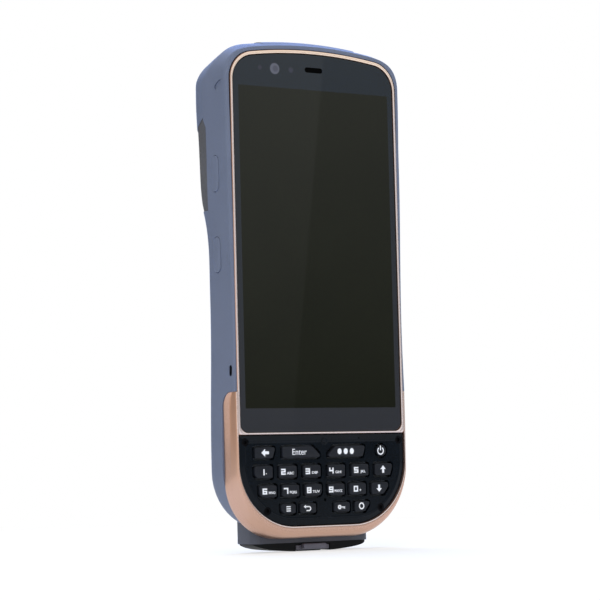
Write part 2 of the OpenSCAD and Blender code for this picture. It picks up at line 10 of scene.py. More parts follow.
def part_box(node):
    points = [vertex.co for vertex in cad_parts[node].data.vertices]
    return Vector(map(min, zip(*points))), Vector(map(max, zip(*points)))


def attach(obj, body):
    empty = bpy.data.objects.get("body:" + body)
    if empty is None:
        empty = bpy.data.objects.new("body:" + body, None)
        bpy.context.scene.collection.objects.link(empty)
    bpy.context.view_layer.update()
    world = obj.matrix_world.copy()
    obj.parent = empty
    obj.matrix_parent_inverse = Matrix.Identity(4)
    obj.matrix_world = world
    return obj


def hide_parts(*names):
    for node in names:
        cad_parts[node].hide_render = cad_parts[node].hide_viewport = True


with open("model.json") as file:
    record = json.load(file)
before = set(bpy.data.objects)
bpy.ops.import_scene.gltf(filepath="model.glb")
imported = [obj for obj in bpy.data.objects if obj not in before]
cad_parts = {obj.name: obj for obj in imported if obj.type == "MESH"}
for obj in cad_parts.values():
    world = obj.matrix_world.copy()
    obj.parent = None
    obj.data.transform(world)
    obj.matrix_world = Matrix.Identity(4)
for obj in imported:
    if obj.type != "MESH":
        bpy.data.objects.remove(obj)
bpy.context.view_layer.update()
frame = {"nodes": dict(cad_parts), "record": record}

# Shapes are modelled in millimetres: x across, y the depth behind the front of the glass, z the height.
# HW stands for half a width.
MM = 0.001
GLASS_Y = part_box("cover_glass")[0].y / MM
TERMINAL = "terminal"

# Housing
CROWN_R = 187
HOUSING_HW = 39.3
HOUSING_TOP = 193.8
HOUSING_CORNER = 14
HOUSING_BOTTOM = 8.5
HOUSING_LOW_CORNER = 22
HOUSING_FRONT = 0.05
LIP_GAP = 0.12
LIP_DROP = 0.1
WALL = 1.8
BACK_ROUND = 5.5
WAIST = 0.9
WAIST_Z = 86
HEAD_FLARE = 0.3

# Openings of the housing
MIC_Z = 67.9
MIC_DEPTH = 2.5
REAR_CAMERA_Z = 173
FLASH_X = 9
SPEAKER_Z = 46
SCAN_TOP = HOUSING_TOP + 0.1
SCAN_HW = 18
PANE_HW = 16
# Height, length and depth of the side keys
SIDE_KEYS = {"upper": (142, 13.6, 9.1), "lower": (111.6, 13.4, 9.9)}
SIDE_KEY_W = 4.8

# Screen and metal frame
GLASS_HW = 36.35
GLASS_TOP = 188.4
GLASS_BOTTOM = 44.9
GLASS_CORNER = 10
GLASS_LOW_CORNER = 3.6
GLASS_THICKNESS = 1.1
RIM_HW = 37.6
RIM_TOP = 190.1
RIM_CORNER = 11
PICTURE_HW = 34
PICTURE_BOTTOM = 53.8
PICTURE_TOP = 174.8
CHEEK_DEPTH = 8.3
CHEEK_TOP = 60
CHEEK_ROUND = 5.5
CHEEK_ARC_STEPS = 8
BAND_HW = 38.3
BAND_BOTTOM = 5.1
BAND_CORNER = 24.5
FLARE_HW = 38.65
FLARE_CORNER = 21.8

# Keypad
PLATE_HW = 37.4
PLATE_BOTTOM = 9.8
PLATE_TOP = 43.9
PLATE_CORNER = 24
SCREW_PLACES = [(34.7, 41.3), (25.6, 15.7)]


# ---------------------------- drawing and lofting

def of_kind(geometry, kind):
    return [g for g in geometry if isinstance(g, kind)]


def pen_path(start, moves):
    """Draws a path in the plane of the glass and returns its points.

    A move is ("to", x, z) for a straight line, or ("arc", x, z, turn in degrees, steps) about a centre.
    """
    bm = bmesh.new()
    pen = bm.verts.new((start[0], 0, start[1]))
    points = [pen.co.copy()]
    for kind, x, z, *arc in moves:
        if kind == "to":
            pen = bmesh.ops.extrude_vert_indiv(bm, verts=[pen])["verts"][0]
            pen.co = (x, 0, z)
            points.append(pen.co.copy())
            continue
        turn, steps = arc
        for _ in range(steps):
            made = bmesh.ops.spin(bm, geom=[pen], cent=(x, 0, z), axis=(0, -1, 0),
                                  angle=radians(turn / steps), steps=1)
            pen = of_kind(made["geom_last"], BMVert)[0]
            points.append(pen.co.copy())
    bm.free()
    return points


def loft(bm, rings, closed=True, finishes=None):
    """Extrudes a chain of edges from each ring of points to the next, each band with its own finish."""
    spot = bm.verts.layers.int.get("spot") or bm.verts.layers.int.new("spot")
    verts = [bm.verts.new(point) for point in rings[0]]
    for place, vert in enumerate(verts):
        vert[spot] = place
    pairs = list(zip(verts, verts[1:])) + ([(verts[-1], verts[0])] if closed else [])
    edges = [bm.edges.new(pair) for pair in pairs]
    for level, ring in enumerate(rings[1:]):
        made = bmesh.ops.extrude_edge_only(bm, edges=edges)["geom"]
        fresh = set(of_kind(made, BMVert))
        for face in of_kind(made, BMFace):
            face.material_index = finishes[level] if finishes else 0
        for vert in fresh:
            vert.co = ring[vert[spot]]
        edges = [e for e in of_kind(made, BMEdge) if e.verts[0] in fresh and e.verts[1] in fresh]


def follow(table, at):
    """A smooth curve through the pairs of a table."""
    if at <= table[0][0]:
        return table[0][1]
    if at >= table[-1][0]:
        return table[-1][1]
    n = next(i for i, row in enumerate(table) if row[0] > at)
    (x0, y0), (x1, y1) = table[n - 1], table[n]
    step = x1 - x0
    before = table[n - 2] if n > 1 else (x0 - step, y0)
    after = table[n + 1] if n + 1 < len(table) else (x1 + step, y1)
    m0 = (y1 - before[1]) / (x1 - before[0]) * step
    m1 = (after[1] - y0) / (after[0] - x0) * step
    t = (at - x0) / step
    return ((2 * t**3 - 3 * t**2 + 1) * y0 + (t**3 - 2 * t**2 + t) * m0
            + (3 * t**2 - 2 * t**3) * y1 + (t**3 - t**2) * m1)


def ease(at, low, high):
    """Rises smoothly from 0 to 1 between two values."""
    t = min(1, max(0, (at - low) / (high - low)))
    return t * t * (3 - 2 * t)


def tall_loop(hw, top, corner, bottom, low_corner, rises=(), steps=(16, 16, 12)):
    """A tall outline with an arched top. The rises are the heights of extra points on its sides."""
    low = top - CROWN_R
    z = low + sqrt((CROWN_R - corner)**2 - (hw - corner)**2)
    turn = degrees(atan2(z - low, hw - corner))
    corner_steps, arch_steps, low_steps = steps
    return pen_path((0, bottom), [
        ("to", hw - low_corner, bottom),
        ("arc", hw - low_corner, bottom + low_corner, 90, low_steps),
        *[("to", hw, rise) for rise in rises],
        ("to", hw, z),
        ("arc", hw - corner, z, turn, corner_steps),
        ("arc", 0, low, 2 * (90 - turn), arch_steps),
        ("arc", corner - hw, z, turn, corner_steps),
        *[("to", -hw, rise) for rise in reversed(rises)],
        ("to", -hw, bottom + low_corner),
        ("arc", low_corner - hw, bottom + low_corner, 90, low_steps),
    ])


def box_shape(bm, hw, front, back, low, high, x=0):
    """A box given by its half width, its depths and its heights."""
    size = Matrix.Diagonal((2 * hw, back - front, high - low, 1))
    place = Matrix.Translation((x, (front + back) / 2, (low + high) / 2))
    return bmesh.ops.create_cube(bm, size=1, matrix=place @ size)["verts"]


def rod(bm, centre, radius, length, axis, segments=32):
    """A round bar about its centre, along x, y or z."""
    turn = {"x": Matrix.Rotation(pi / 2, 4, "Y"), "y": Matrix.Rotation(pi / 2, 4, "X"),
            "z": Matrix.Identity(4)}[axis]
    return bmesh.ops.create_cone(bm, cap_ends=True, segments=segments, radius1=radius, radius2=radius,
                                 depth=length, matrix=Matrix.Translation(centre) @ turn)["verts"]


def face_outwards(bm):
    bmesh.ops.recalc_face_normals(bm, faces=bm.faces[:])


def merge(bm, distance):
    bmesh.ops.remove_doubles(bm, verts=bm.verts[:], dist=distance)


def mid(face):
    return face.calc_center_median()


def edges_of(parts):
    """The edges of some faces, or those at some points."""
    return {e for p in parts for e in (p.link_edges if isinstance(p, BMVert) else p.edges)}


def bevel(bm, geometry, width, segments, affect="EDGES"):
    bmesh.ops.bevel(bm, geom=list(geometry), offset=width, offset_type="OFFSET", affect=affect,
                    segments=segments, profile=0.5, material=-1, clamp_overlap=True)


def soften(bm, edges, width, segments=3):
    face_outwards(bm)
    bevel(bm, edges, width, segments)


def soft_box(bm, box, width, segments):
    soften(bm, edges_of(box_shape(bm, *box)), width, segments)


def thicken(bm, faces, distance):
    """Extrudes flat faces along the depth and returns the new faces."""
    made = bmesh.ops.extrude_face_region(bm, geom=list(faces))["geom"]
    bmesh.ops.translate(bm, verts=of_kind(made, BMVert), vec=(0, distance, 0))
    return of_kind(made, BMFace)


def slice_faces(bm, faces, point, normal):
    """Cuts faces along a plane without parting them."""
    geometry = set(faces) | edges_of(faces) | {v for f in faces for v in f.verts}
    bmesh.ops.bisect_plane(bm, geom=list(geometry), plane_co=point, plane_no=normal, dist=0.0005)


def close_ends(bm):
    """Closes every open loop with one face."""
    bmesh.ops.holes_fill(bm, edges=[e for e in bm.edges if e.is_boundary], sides=0)


# ---------------------------- pieces

def mesh_of(name, bm):
    mesh = bpy.data.meshes.new(name)
    bm.to_mesh(mesh)
    bm.free()
    return mesh


def set_crease(mesh, angle):
    """Smooth shading, with a crease where faces meet at more than an angle in degrees."""
    mesh.shade_smooth()
    mesh.set_sharp_from_angle(angle=radians(angle))


def add_object(name, data):
    piece = bpy.data.objects.new(name, data)
    bpy.context.scene.collection.objects.link(piece)
    return piece


def add_shape(name, bm, crease=35, outward=True):
    """Adds a shape in millimetres to the scene, in its place."""
    bm.transform(Matrix.Scale(MM, 4) @ Matrix.Translation((0, GLASS_Y, 0)))
    if outward:
        face_outwards(bm)
    mesh = mesh_of(name, bm)
    set_crease(mesh, crease)
    return add_object(name, mesh)


def settle(piece, finishes, stands_for=(), body=TERMINAL):
    """Makes an object a piece of the terminal."""
    for finish in finishes:
        piece.data.materials.append(finish)
    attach(piece, body)
    if stands_for:
        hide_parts(*stands_for)


def evaluated_mesh(piece):
    graph = bpy.context.evaluated_depsgraph_get()
    return bpy.data.meshes.new_from_object(piece.evaluated_get(graph))


def bake_modifiers(piece):
    """Applies the modifiers of a piece to its mesh."""
    mesh = evaluated_mesh(piece)
    mesh.materials.clear()
    piece.modifiers.clear()
    piece.data = mesh


def carve(piece, shape, operation="DIFFERENCE"):
    """Cuts a shape out of a piece, or joins it on."""
    cutter = add_shape("cutter", shape)
    boolean = piece.modifiers.new("carve", "BOOLEAN")
    boolean.operation = operation
    boolean.solver = "MANIFOLD"
    boolean.object = cutter
    bake_modifiers(piece)
    bpy.data.objects.remove(cutter)


def add_bevel(piece, width, segments=2, harden=False):
    edge = piece.modifiers.new("edge", "BEVEL")
    edge.width = width * MM
    edge.segments = segments
    edge.limit_method = "ANGLE"
    edge.angle_limit = radians(50)
    edge.harden_normals = harden


# ---------------------------- finishes

class Nodes:
    """Adds nodes to the tree of a new material or of the world, and links them."""

    def __init__(self, name, owner=None):
        self.owner = owner or bpy.data.materials.new(name)
        self.owner.use_nodes = True
        self.tree = self.owner.node_tree
        self.place = self.add("ShaderNodeTexCoord").outputs["Object"]

    def fill(self, socket, value):
        """Gives a socket a value or a colour, or links it to an output."""
        if isinstance(value, bpy.types.NodeSocket):
            self.tree.links.new(value, socket)
        else:
            socket.default_value = (*value, 1) if socket.type == "RGBA" else value

    def add(self, kind, inputs=None, **settings):
        node = self.tree.nodes.new(kind)
        for key, value in settings.items():
            setattr(node, key, value)
        for key, value in (inputs or {}).items():
            self.fill(node.inputs[key], value)
        return node

    def put(self, socket, value):
        """Fills a socket of the surface shader."""
        self.fill(self.tree.nodes["Principled BSDF"].inputs[socket], value)

    def show(self, light, output="Material Output"):
        self.fill(self.tree.nodes[output].inputs["Surface"], light.outputs[0])

    def noise(self, scale, detail=3, rough=0.5):
        return self.add("ShaderNodeTexNoise", {"Vector": self.place, "Scale": scale, "Detail": detail,
                                               "Roughness": rough}).outputs["Fac"]

    def span(self, value, low, high, to_low, to_high):
        return self.add("ShaderNodeMapRange", {"Value": value, "From Min": low, "From Max": high,
                                               "To Min": to_low, "To Max": to_high}).outputs["Result"]

    def vary(self, noise, low, high):
        return self.span(noise, 0.3, 0.7, low, high)

    def sum(self, a, b, operation="ADD"):
        return self.add("ShaderNodeMath", {0: a, 1: b}, operation=operation).outputs["Value"]

    def blend(self, factor, a, b):
        return self.add("ShaderNodeMix", {"Factor": factor, 6: a, 7: b}, data_type="RGBA").outputs[2]

    def mottle(self, fine, broad, dark, light):
        return self.blend(self.span(self.sum(fine, broad), 0.7, 1.3, 0, 1), dark, light)

    def bump(self, height, strength, distance):
        made = self.add("ShaderNodeBump", {"Height": height, "Strength": strength, "Distance": distance})
        self.put("Normal", made.outputs["Normal"])

    def split_place(self):
        return self.add("ShaderNodeSeparateXYZ", {"Vector": self.place}).outputs

    def seen(self):
        """1 for rays that come from the camera, a mirror or through glass, and 0 for the others."""
        path = self.add("ShaderNodeLightPath").outputs
        straight = self.sum(path["Is Camera Ray"], path["Is Glossy Ray"], "MAXIMUM")
        return self.sum(straight, path["Is Transmission Ray"], "MAXIMUM")


def moulded(name, dark, light, rough, grain=2600, grain_depth=0.00003, strength=0.35, sheen=0.5, velvet=0.0):
    """Moulded or painted surface: fine grain, a faint mottle in the colour, and uneven gloss."""
    n = Nodes(name)
    fine = n.noise(grain, 2)
    broad = n.noise(45, 4, 0.6)
    n.put("Base Color", n.mottle(fine, broad, dark, light))
    n.put("Roughness", n.vary(broad, rough - 0.05, rough + 0.05))
    n.put("Specular IOR Level", sheen)
    n.put("Sheen Weight", velvet)
    n.put("Sheen Roughness", 0.25)
    n.put("Sheen Tint", (0.35, 0.55, 1))
    n.bump(fine, strength, grain_depth)
    return n.owner


def brushed(name, dark, light, rough, metallic=0.9, lower=None, painted_light_heights=(0.024, 0.046)):
    """Blasted or brushed metal with a fine tooth. It can take another colour lower down, which paints a change of
    light and reflection with height.
    """
    n = Nodes(name)
    fine = n.noise(3500)
    colour = n.mottle(fine, n.noise(60), dark, light)
    if lower:
        colour = n.blend(n.span(n.split_place()["Z"], *painted_light_heights, 0, 1), lower, colour)
    n.put("Base Color", colour)
    n.put("Roughness", n.vary(fine, rough - 0.04, rough + 0.04))
    n.put("Metallic", metallic)
    n.bump(fine, 0.25, 0.00001)
    return n.owner


# Windows over the front camera and the sensors: place across, radius, blurred edge and colour. The front camera's
# grey disc has a darker disc a little to its right, which leaves a painted highlight as a lighter crescent on its
# left.
SENSOR_Z = 181.95
SENSORS = [(-17.6, 2.1, 0.3, (0.088, 0.092, 0.115)), (-17.3, 1.2, 0.5, (0.060, 0.063, 0.082)),
           (-24.2, 0.8, 0.6, (0.024, 0.024, 0.036)), (-10.3, 1.0, 0.7, (0.026, 0.028, 0.042))]


def screen_finish():
    """Black-backed glass: a blue-grey border, the picture area, and the small windows over the sensors."""
    n = Nodes("screen_glass")
    axes = n.split_place()
    z = axes["Z"]

    def step(value, edge, low, high):
        return n.span(value, edge * MM - 0.0001, edge * MM + 0.0001, low, high)

    beside = step(n.sum(axes["X"], 0.0, "ABSOLUTE"), PICTURE_HW, 1, 0)
    inside = n.sum(beside, step(z, PICTURE_TOP, 1, 0), "MULTIPLY")
    inside = n.sum(inside, step(z, PICTURE_BOTTOM, 0, 1), "MULTIPLY")
    cloud = n.noise(30, 2)
    border = n.blend(n.span(n.sum(z, n.sum(cloud, 0.01, "MULTIPLY")), 0.06, 0.18, 0, 1),
                     (0.0235, 0.025, 0.0285), (0.0085, 0.0135, 0.0185))
    picture = n.blend(n.vary(cloud, 0, 1), (0.0035, 0.0045, 0.001), (0.005, 0.006, 0.0018))
    colour = n.blend(inside, border, picture)
    for x, radius, edge, shade in SENSORS:
        away = n.add("ShaderNodeVectorMath", {0: n.place, 1: (x * MM, GLASS_Y * MM, SENSOR_Z * MM)},
                     operation="DISTANCE").outputs["Value"]
        spot = n.span(away, (radius - edge / 2) * MM, (radius + edge / 2) * MM, 1, 0)
        colour = n.blend(spot, colour, shade)
    n.put("Base Color", colour)
    n.put("Roughness", n.vary(cloud, 0.008, 0.02))
    n.put("IOR", 1.45)
    n.bump(n.noise(18, 1), 0.004, 0.0002)
    return n.owner


def window_finish():
    """Dark red filter glass over the scan engine."""
    n = Nodes("filter_glass")
    haze = n.noise(120)
    n.put("Base Color", n.blend(n.vary(haze, 0, 1), (0.05, 0.004, 0.006), (0.08, 0.006, 0.009)))
    n.put("Roughness", n.vary(haze, 0.04, 0.08))
    n.bump(n.noise(60, 1), 0.03, 0.0001)
    return n.owner


HOUSING = moulded("housing_blue", (0.098, 0.119, 0.174), (0.117, 0.139, 0.197), 0.5, velvet=0.25)
# Darker copy of the housing's blue for the foot block: painted shade under the overhanging band
FOOT_SHADED_BLUE = moulded("foot_blue_painted_shade", (0.044, 0.050, 0.070), (0.058, 0.064, 0.088), 0.4)
ROSE = brushed("rose_metal", (0.52, 0.32, 0.24), (0.60, 0.38, 0.29), 0.3, metallic=0.85)
# Paler copy of the rose metal on the rim's front face and the thin edge beside the keypad: partly a polished edge,
# partly painted highlight, pinker and greyer lower down
ROSE_EDGE_HIGHLIGHT = brushed("rose_edge_highlight", (0.84, 0.66, 0.52), (0.92, 0.73, 0.58), 0.25, metallic=0.85,
                    lower=(0.73, 0.63, 0.61), painted_light_heights=(0.165, 0.187))
# Paler, pinker copy of the rose metal on the band's front: painted highlight on the cheeks, near the plain metal's
# tone on the lower band
ROSE_FRONT_HIGHLIGHT = brushed("rose_front_highlight", (0.68, 0.53, 0.47), (0.76, 0.60, 0.54), 0.27, metallic=0.85,
                     lower=(0.56, 0.355, 0.27), painted_light_heights=(0.040, 0.046))
# Browner, darker copy of the rose metal on the band's outer side: painted shade on the cheeks, near the plain
# metal's tone lower down
ROSE_SIDE_SHADE = brushed("rose_side_shade", (0.54, 0.30, 0.19), (0.62, 0.35, 0.23), 0.32, metallic=0.8,
                    lower=(0.57, 0.36, 0.27))
# Dark copy of the rose metal on the rim's sides and the band's wall beside the keypad: painted shade
ROSE_PAINTED_SHADE = brushed("rose_painted_shade", (0.10, 0.055, 0.04), (0.14, 0.08, 0.055), 0.4, metallic=0.6)
SCREEN = screen_finish()
PLATE = moulded("plate_black", (0.0015, 0.003, 0.005), (0.003, 0.0055, 0.009), 0.16, grain=1900,
                strength=0.08, sheen=0.13)
KEYCAP = moulded("keycap_black", (0.009, 0.0105, 0.014), (0.015, 0.017, 0.022), 0.4, grain=2200, sheen=0.15)
LEGEND = moulded("legend_white", (0.72, 0.73, 0.74), (0.86, 0.87, 0.88), 0.5, grain=3000, strength=0.1)
DOOR = moulded("door_grey", (0.050, 0.051, 0.056), (0.078, 0.079, 0.085), 0.62, grain=1300,
               grain_depth=0.00008, strength=0.6)
SOLE = moulded("sole_rubber", (0.002, 0.003, 0.004), (0.005, 0.0065, 0.008), 0.5, grain=1600, sheen=0.13)
TAB = moulded("tab_grey", (0.095, 0.10, 0.135), (0.13, 0.135, 0.175), 0.5)
# Near-black with almost no gloss: painted shade for the insides of the microphone and earpiece slots
SLOT_SHADE_BLACK = moulded("slot_shade_black", (0.001, 0.001, 0.001), (0.002, 0.002, 0.002), 0.8, sheen=0.02)
INNER = moulded("inner_black", (0.010, 0.010, 0.012), (0.020, 0.020, 0.023), 0.55)
GOLD = brushed("gold_contact", (0.75, 0.50, 0.18), (0.86, 0.60, 0.25), 0.25, metallic=1)
FILTER = window_finish()

# The finish of each slot that the visible CAD nodes have
SLOT_FINISH = {
    "screen_black": INNER, "inner_black": INNER, "gold_contact": GOLD,
    "black_glass": moulded("camera_glass", (0.004, 0.005, 0.008), (0.007, 0.008, 0.012), 0.06, strength=0.02),
    "light_alloy": brushed("light_alloy", (0.50, 0.51, 0.53), (0.62, 0.63, 0.65), 0.42),
    "steel": brushed("steel", (0.48, 0.48, 0.49), (0.60, 0.60, 0.61), 0.28, metallic=1),
    "board_green": moulded("board_green", (0.010, 0.060, 0.022), (0.016, 0.095, 0.036), 0.4, grain=700),
    "cell_grey": moulded("cell_grey", (0.030, 0.034, 0.045), (0.050, 0.054, 0.066), 0.5),
    "mat_grey": moulded("mat_grey", (0.10, 0.11, 0.12), (0.14, 0.15, 0.16), 0.7),
    "lens_clear": moulded("lens_clear", (0.70, 0.68, 0.60), (0.82, 0.80, 0.72), 0.12, grain=900, strength=0.5,
                          sheen=0.8),
    "screw_black": moulded("screw_black", (0.001, 0.001, 0.0015), (0.003, 0.003, 0.004), 0.45, sheen=0.05),
    "flex_amber": moulded("flex_amber", (0.30, 0.13, 0.03), (0.42, 0.20, 0.05), 0.35),
}


# ---------------------------- housing and battery door

# Depth of the back at each height
BACK_DEPTH = [(0, 20.8), (60, 20.8), (100, 20.4), (112, 20.1), (119, 20.6), (124, 21.8), (128, 23.5),
              (132, 25.4), (138, 26.6), (147, 27.2), (158, 27.8), (167, 28.38), (175, 28.38), (183, 27.8),
              (188, 27.0), (194, 25.5)]
# Depth where the slanted facet of the head starts, and its slope, by the angle round the corner
FACET_START = [(0, 17.2), (15, 13.5), (30, 11), (45, 9.5), (65, 9), (90, 8)]
FACET_SLOPE = [(0, 0.15), (15, 0.165), (30, 0.19), (45, 0.208), (65, 0.185), (80, 0.085), (84, 0.02), (90, 0)]
SIDE_RISES = [*range(33, 178, 3)]
FRONT_STEPS = [0, 0.12, 0.3, 0.6, 1.0, 1.5, 2.2, 3.0, 4.0, 5.2, 6.6, 8.0]
SPAN_STEPS = 14
ROUND_STEPS = 8
CAP_STEPS = 12


def waist(z):
    """Share of the full width at a height: slim in the grip, and a little wider in the head."""
    reach = 60 if z > WAIST_Z else 50
    near = cos(pi / 2 * min(1, abs(z - WAIST_Z) / reach))**2
    return 1 + (HEAD_FLARE * ease(z, 150, 172) - WAIST * near) / HOUSING_HW


def front_inset(angle, behind):
    """How far the front edge is drawn in: a small round at the sides, a long slope at the top."""
    side = 0.55 * max(0, 1 - behind / 0.9)**2
    top = 2.2 * max(0, 1 - behind / 9)**2
    share = ease(angle, 25, 78)
    return side * (1 - share) + top * share


def facet_inset(angle, depth, z):
    """How far the slanted facet at the back of the head is drawn in."""
    return (follow(FACET_SLOPE, angle) * max(0, depth - follow(FACET_START, angle)) * ease(z, 98, 128)
            + 0.0014 * max(0, depth - 8)**2)


def skin_rings(sunk=0):
    """Rings of points from the front lip of the housing, round its back edge, to its middle line."""
    outer = tall_loop(HOUSING_HW, HOUSING_TOP, HOUSING_CORNER, HOUSING_BOTTOM, HOUSING_LOW_CORNER, SIDE_RISES)
    lip = tall_loop(RIM_HW + LIP_GAP, RIM_TOP + LIP_GAP, RIM_CORNER, HOUSING_BOTTOM + 2.4,
                    HOUSING_LOW_CORNER - 1.5, SIDE_RISES)
    columns = []
    for i, (point, inner) in enumerate(zip(outer, lip)):
        along = outer[(i + 1) % len(outer)] - outer[i - 1]
        normal = Vector((along.z, 0, -along.x)).normalized()
        angle = max(0, degrees(atan2(normal.z, abs(normal.x))))
        edge = follow(BACK_DEPTH, point.z - BACK_ROUND * normal.z) - sunk - BACK_ROUND
        squeeze = min(1, 0.6 * (edge - HOUSING_FRONT) / FRONT_STEPS[-1])

        def out(depth, extra=0):
            inset = front_inset(angle, depth - HOUSING_FRONT) + facet_inset(angle, depth, point.z)
            moved = point - normal * (inset + extra + sunk * 0.3)
            return Vector((moved.x * waist(moved.z), depth, moved.z))

        lip_point = Vector((inner.x * waist(point.z), HOUSING_FRONT + LIP_DROP, inner.z))
        column = [lip_point.lerp(out(HOUSING_FRONT), share) - Vector((0, dip * LIP_DROP, 0))
                  for share, dip in ((0, 0), (0.45, 0.45), (0.8, 0.2))]
        column += [out(HOUSING_FRONT + step * squeeze) for step in FRONT_STEPS]
        start = HOUSING_FRONT + FRONT_STEPS[-1] * squeeze
        column += [out(start + (edge - start) * k / SPAN_STEPS) for k in range(1, SPAN_STEPS + 1)]
        for k in range(1, ROUND_STEPS + 1):
            turn = radians(90 * k / ROUND_STEPS)
            column.append(out(edge + BACK_ROUND * sin(turn), BACK_ROUND * (1 - cos(turn))))
        last = column[-1]
        middle_z = min(150, max(34, last.z))
        for k in range(1, CAP_STEPS + 1):
            share = k / CAP_STEPS
            z = last.z + (middle_z - last.z) * share
            level = follow(BACK_DEPTH, z) - sunk
            column.append(Vector((last.x * (1 - share), last.y + (level - last.y) * ease(share, 0, 0.15), z)))
        columns.append(column)
    return [list(ring) for ring in zip(*columns)]


DOOR_FRONT = 15.5
DOOR_TOP = 164
DOOR_STEP = 129
DOOR_BOTTOM = 62
DOOR_HW = 31.5
DOOR_CUT = Vector((0, -4, 2.2)).normalized()
DOOR_CORNER_Z = 160.2
# The top edge of the door falls towards the back. At this depth it has the height of the door's top
DOOR_TOP_Y = 17.7
DOOR_SLOPE = Vector((0, 0.5, 1)).normalized()
# The pad round the scan window ends between these places across
PAD_EDGES = (-20.9, -20.6, 20.6, 20.9)


def raise_pad(bm):
    """Raises the pad round the scan window by a small step."""
    for x in PAD_EDGES:
        slice_faces(bm, [f for f in bm.faces if mid(f).z > 150], (x, 0, 0), (1, 0, 0))
    for vert in bm.verts:
        x, y, z = vert.co
        if abs(x) < 20.7 and z > 180:
            vert.co.z += 0.35 * ease(y, 2.2, 3.6) * (1 - ease(y, 24, 26))


def skin(grow, sunk=0):
    """The outer skin, cut along the outline of the battery door, and a test for the faces of the door."""
    bm = bmesh.new()
    loft(bm, skin_rings(sunk))
    merge(bm, 0.01)
    bmesh.ops.dissolve_degenerate(bm, dist=0.001, edges=bm.edges[:])
    if not sunk:
        raise_pad(bm)
    corner = Vector((0, DOOR_FRONT, DOOR_CORNER_Z)) + DOOR_CUT * grow
    top = Vector((0, DOOR_TOP_Y, DOOR_TOP + grow))
    # Each plane cuts only between two heights
    planes = [((0, DOOR_FRONT - grow, 0), (0, 1, 0), 55, 170), (top, DOOR_SLOPE, 150, 170),
              ((0, 0, DOOR_STEP - grow), (0, 0, 1), 120, 140), ((0, 0, DOOR_BOTTOM - grow), (0, 0, 1), 50, 70),
              ((DOOR_HW + grow, 0, 0), (1, 0, 0), 55, 135), ((-DOOR_HW - grow, 0, 0), (1, 0, 0), 55, 135),
              (corner, DOOR_CUT, 150, 170)]
    for point, normal, low, high in planes:
        slice_faces(bm, [f for f in bm.faces if low < mid(f).z < high], point, normal)

    def in_door(face):
        at = mid(face)
        if at.y < DOOR_FRONT - grow or at.z < DOOR_BOTTOM - grow:
            return False
        if (at - corner).dot(DOOR_CUT) > 0 or (at - top).dot(DOOR_SLOPE) > 0:
            return False
        return at.z > DOOR_STEP - grow or abs(at.x) < DOOR_HW + grow

    return bm, in_door


def bar_of(bm, x, z, width, height, near, far, steps=12):
    """A bar with round ends, from one depth to another, along its longer side."""
    radius = min(width, height) / 2
    dx, dz = width / 2 - radius, height / 2 - radius
    if dx > dz:
        points = pen_path((x - dx, z - radius), [("to", x + dx, z - radius), ("arc", x + dx, z, 180, steps),
                                                 ("to", x - dx, z + radius), ("arc", x - dx, z, 180, steps)])
    else:
        points = pen_path((x + radius, z - dz), [("to", x + radius, z + dz), ("arc", x, z + dz, 180, steps),
                                                 ("to", x - radius, z - dz), ("arc", x, z - dz, 180, steps)])
    face = bm.faces.new([bm.verts.new((p.x, near, p.z)) for p in points[:-1]])
    made = thicken(bm, [face], far - near)
    return {v for f in made for v in f.verts} | set(face.verts)


def side_slot(bm, side, z, depth, width, length, inner, outer):
    """A bar with round ends, along the height and through a side wall."""
    for vert in bar_of(bm, 0, z, width, length, inner, outer):
        x, y, height = vert.co
        vert.co = (side * y, depth + x, height)


def keep_faces(bm, wanted):
    """Deletes every face that isn't wanted, with the loose edges and points it leaves."""
    bmesh.ops.delete(bm, geom=[f for f in bm.faces if not wanted(f)], context="FACES")


def walled(name, bm):
    """Makes a piece from a skin and gives it its thickness, inwards."""
    face_outwards(bm)
    if max(bm.faces, key=lambda f: mid(f).y).normal.y < 0:
        bmesh.ops.reverse_faces(bm, faces=bm.faces[:])
    piece = add_shape(name, bm, outward=False)
    solid = piece.modifiers.new("wall", "SOLIDIFY")
    solid.thickness = WALL * MM
    solid.offset = -1
    bake_modifiers(piece)
    return piece


def open_cheeks(bm):
    """Cuts the skin along the edge of the metal cheeks and opens it in front of that line."""
    edge, top = CHEEK_DEPTH + 0.1, CHEEK_TOP + 0.08
    middle = Vector((0, edge - CHEEK_ROUND, top - CHEEK_ROUND))
    planes = [(Vector((0, edge, 0)), Vector((0, 1, 0))), (Vector((0, 0, top)), Vector((0, 0, 1)))]
    for step in range(CHEEK_ARC_STEPS):
        turn = radians(90 * (step + 0.5) / CHEEK_ARC_STEPS)
        out = Vector((0, cos(turn), sin(turn)))
        planes.append((middle + out * CHEEK_ROUND * cos(radians(45 / CHEEK_ARC_STEPS)), out))
    for point, normal in planes:
        lowest = middle.z - 3 if normal.z > 0 else 0
        faces = [f for f in bm.faces if mid(f).y < 10 and lowest < mid(f).z < CHEEK_TOP + 4]
        slice_faces(bm, faces, point, normal)
    keep_faces(bm, lambda f: any((mid(f) - point).dot(normal) > 0 for point, normal in planes))


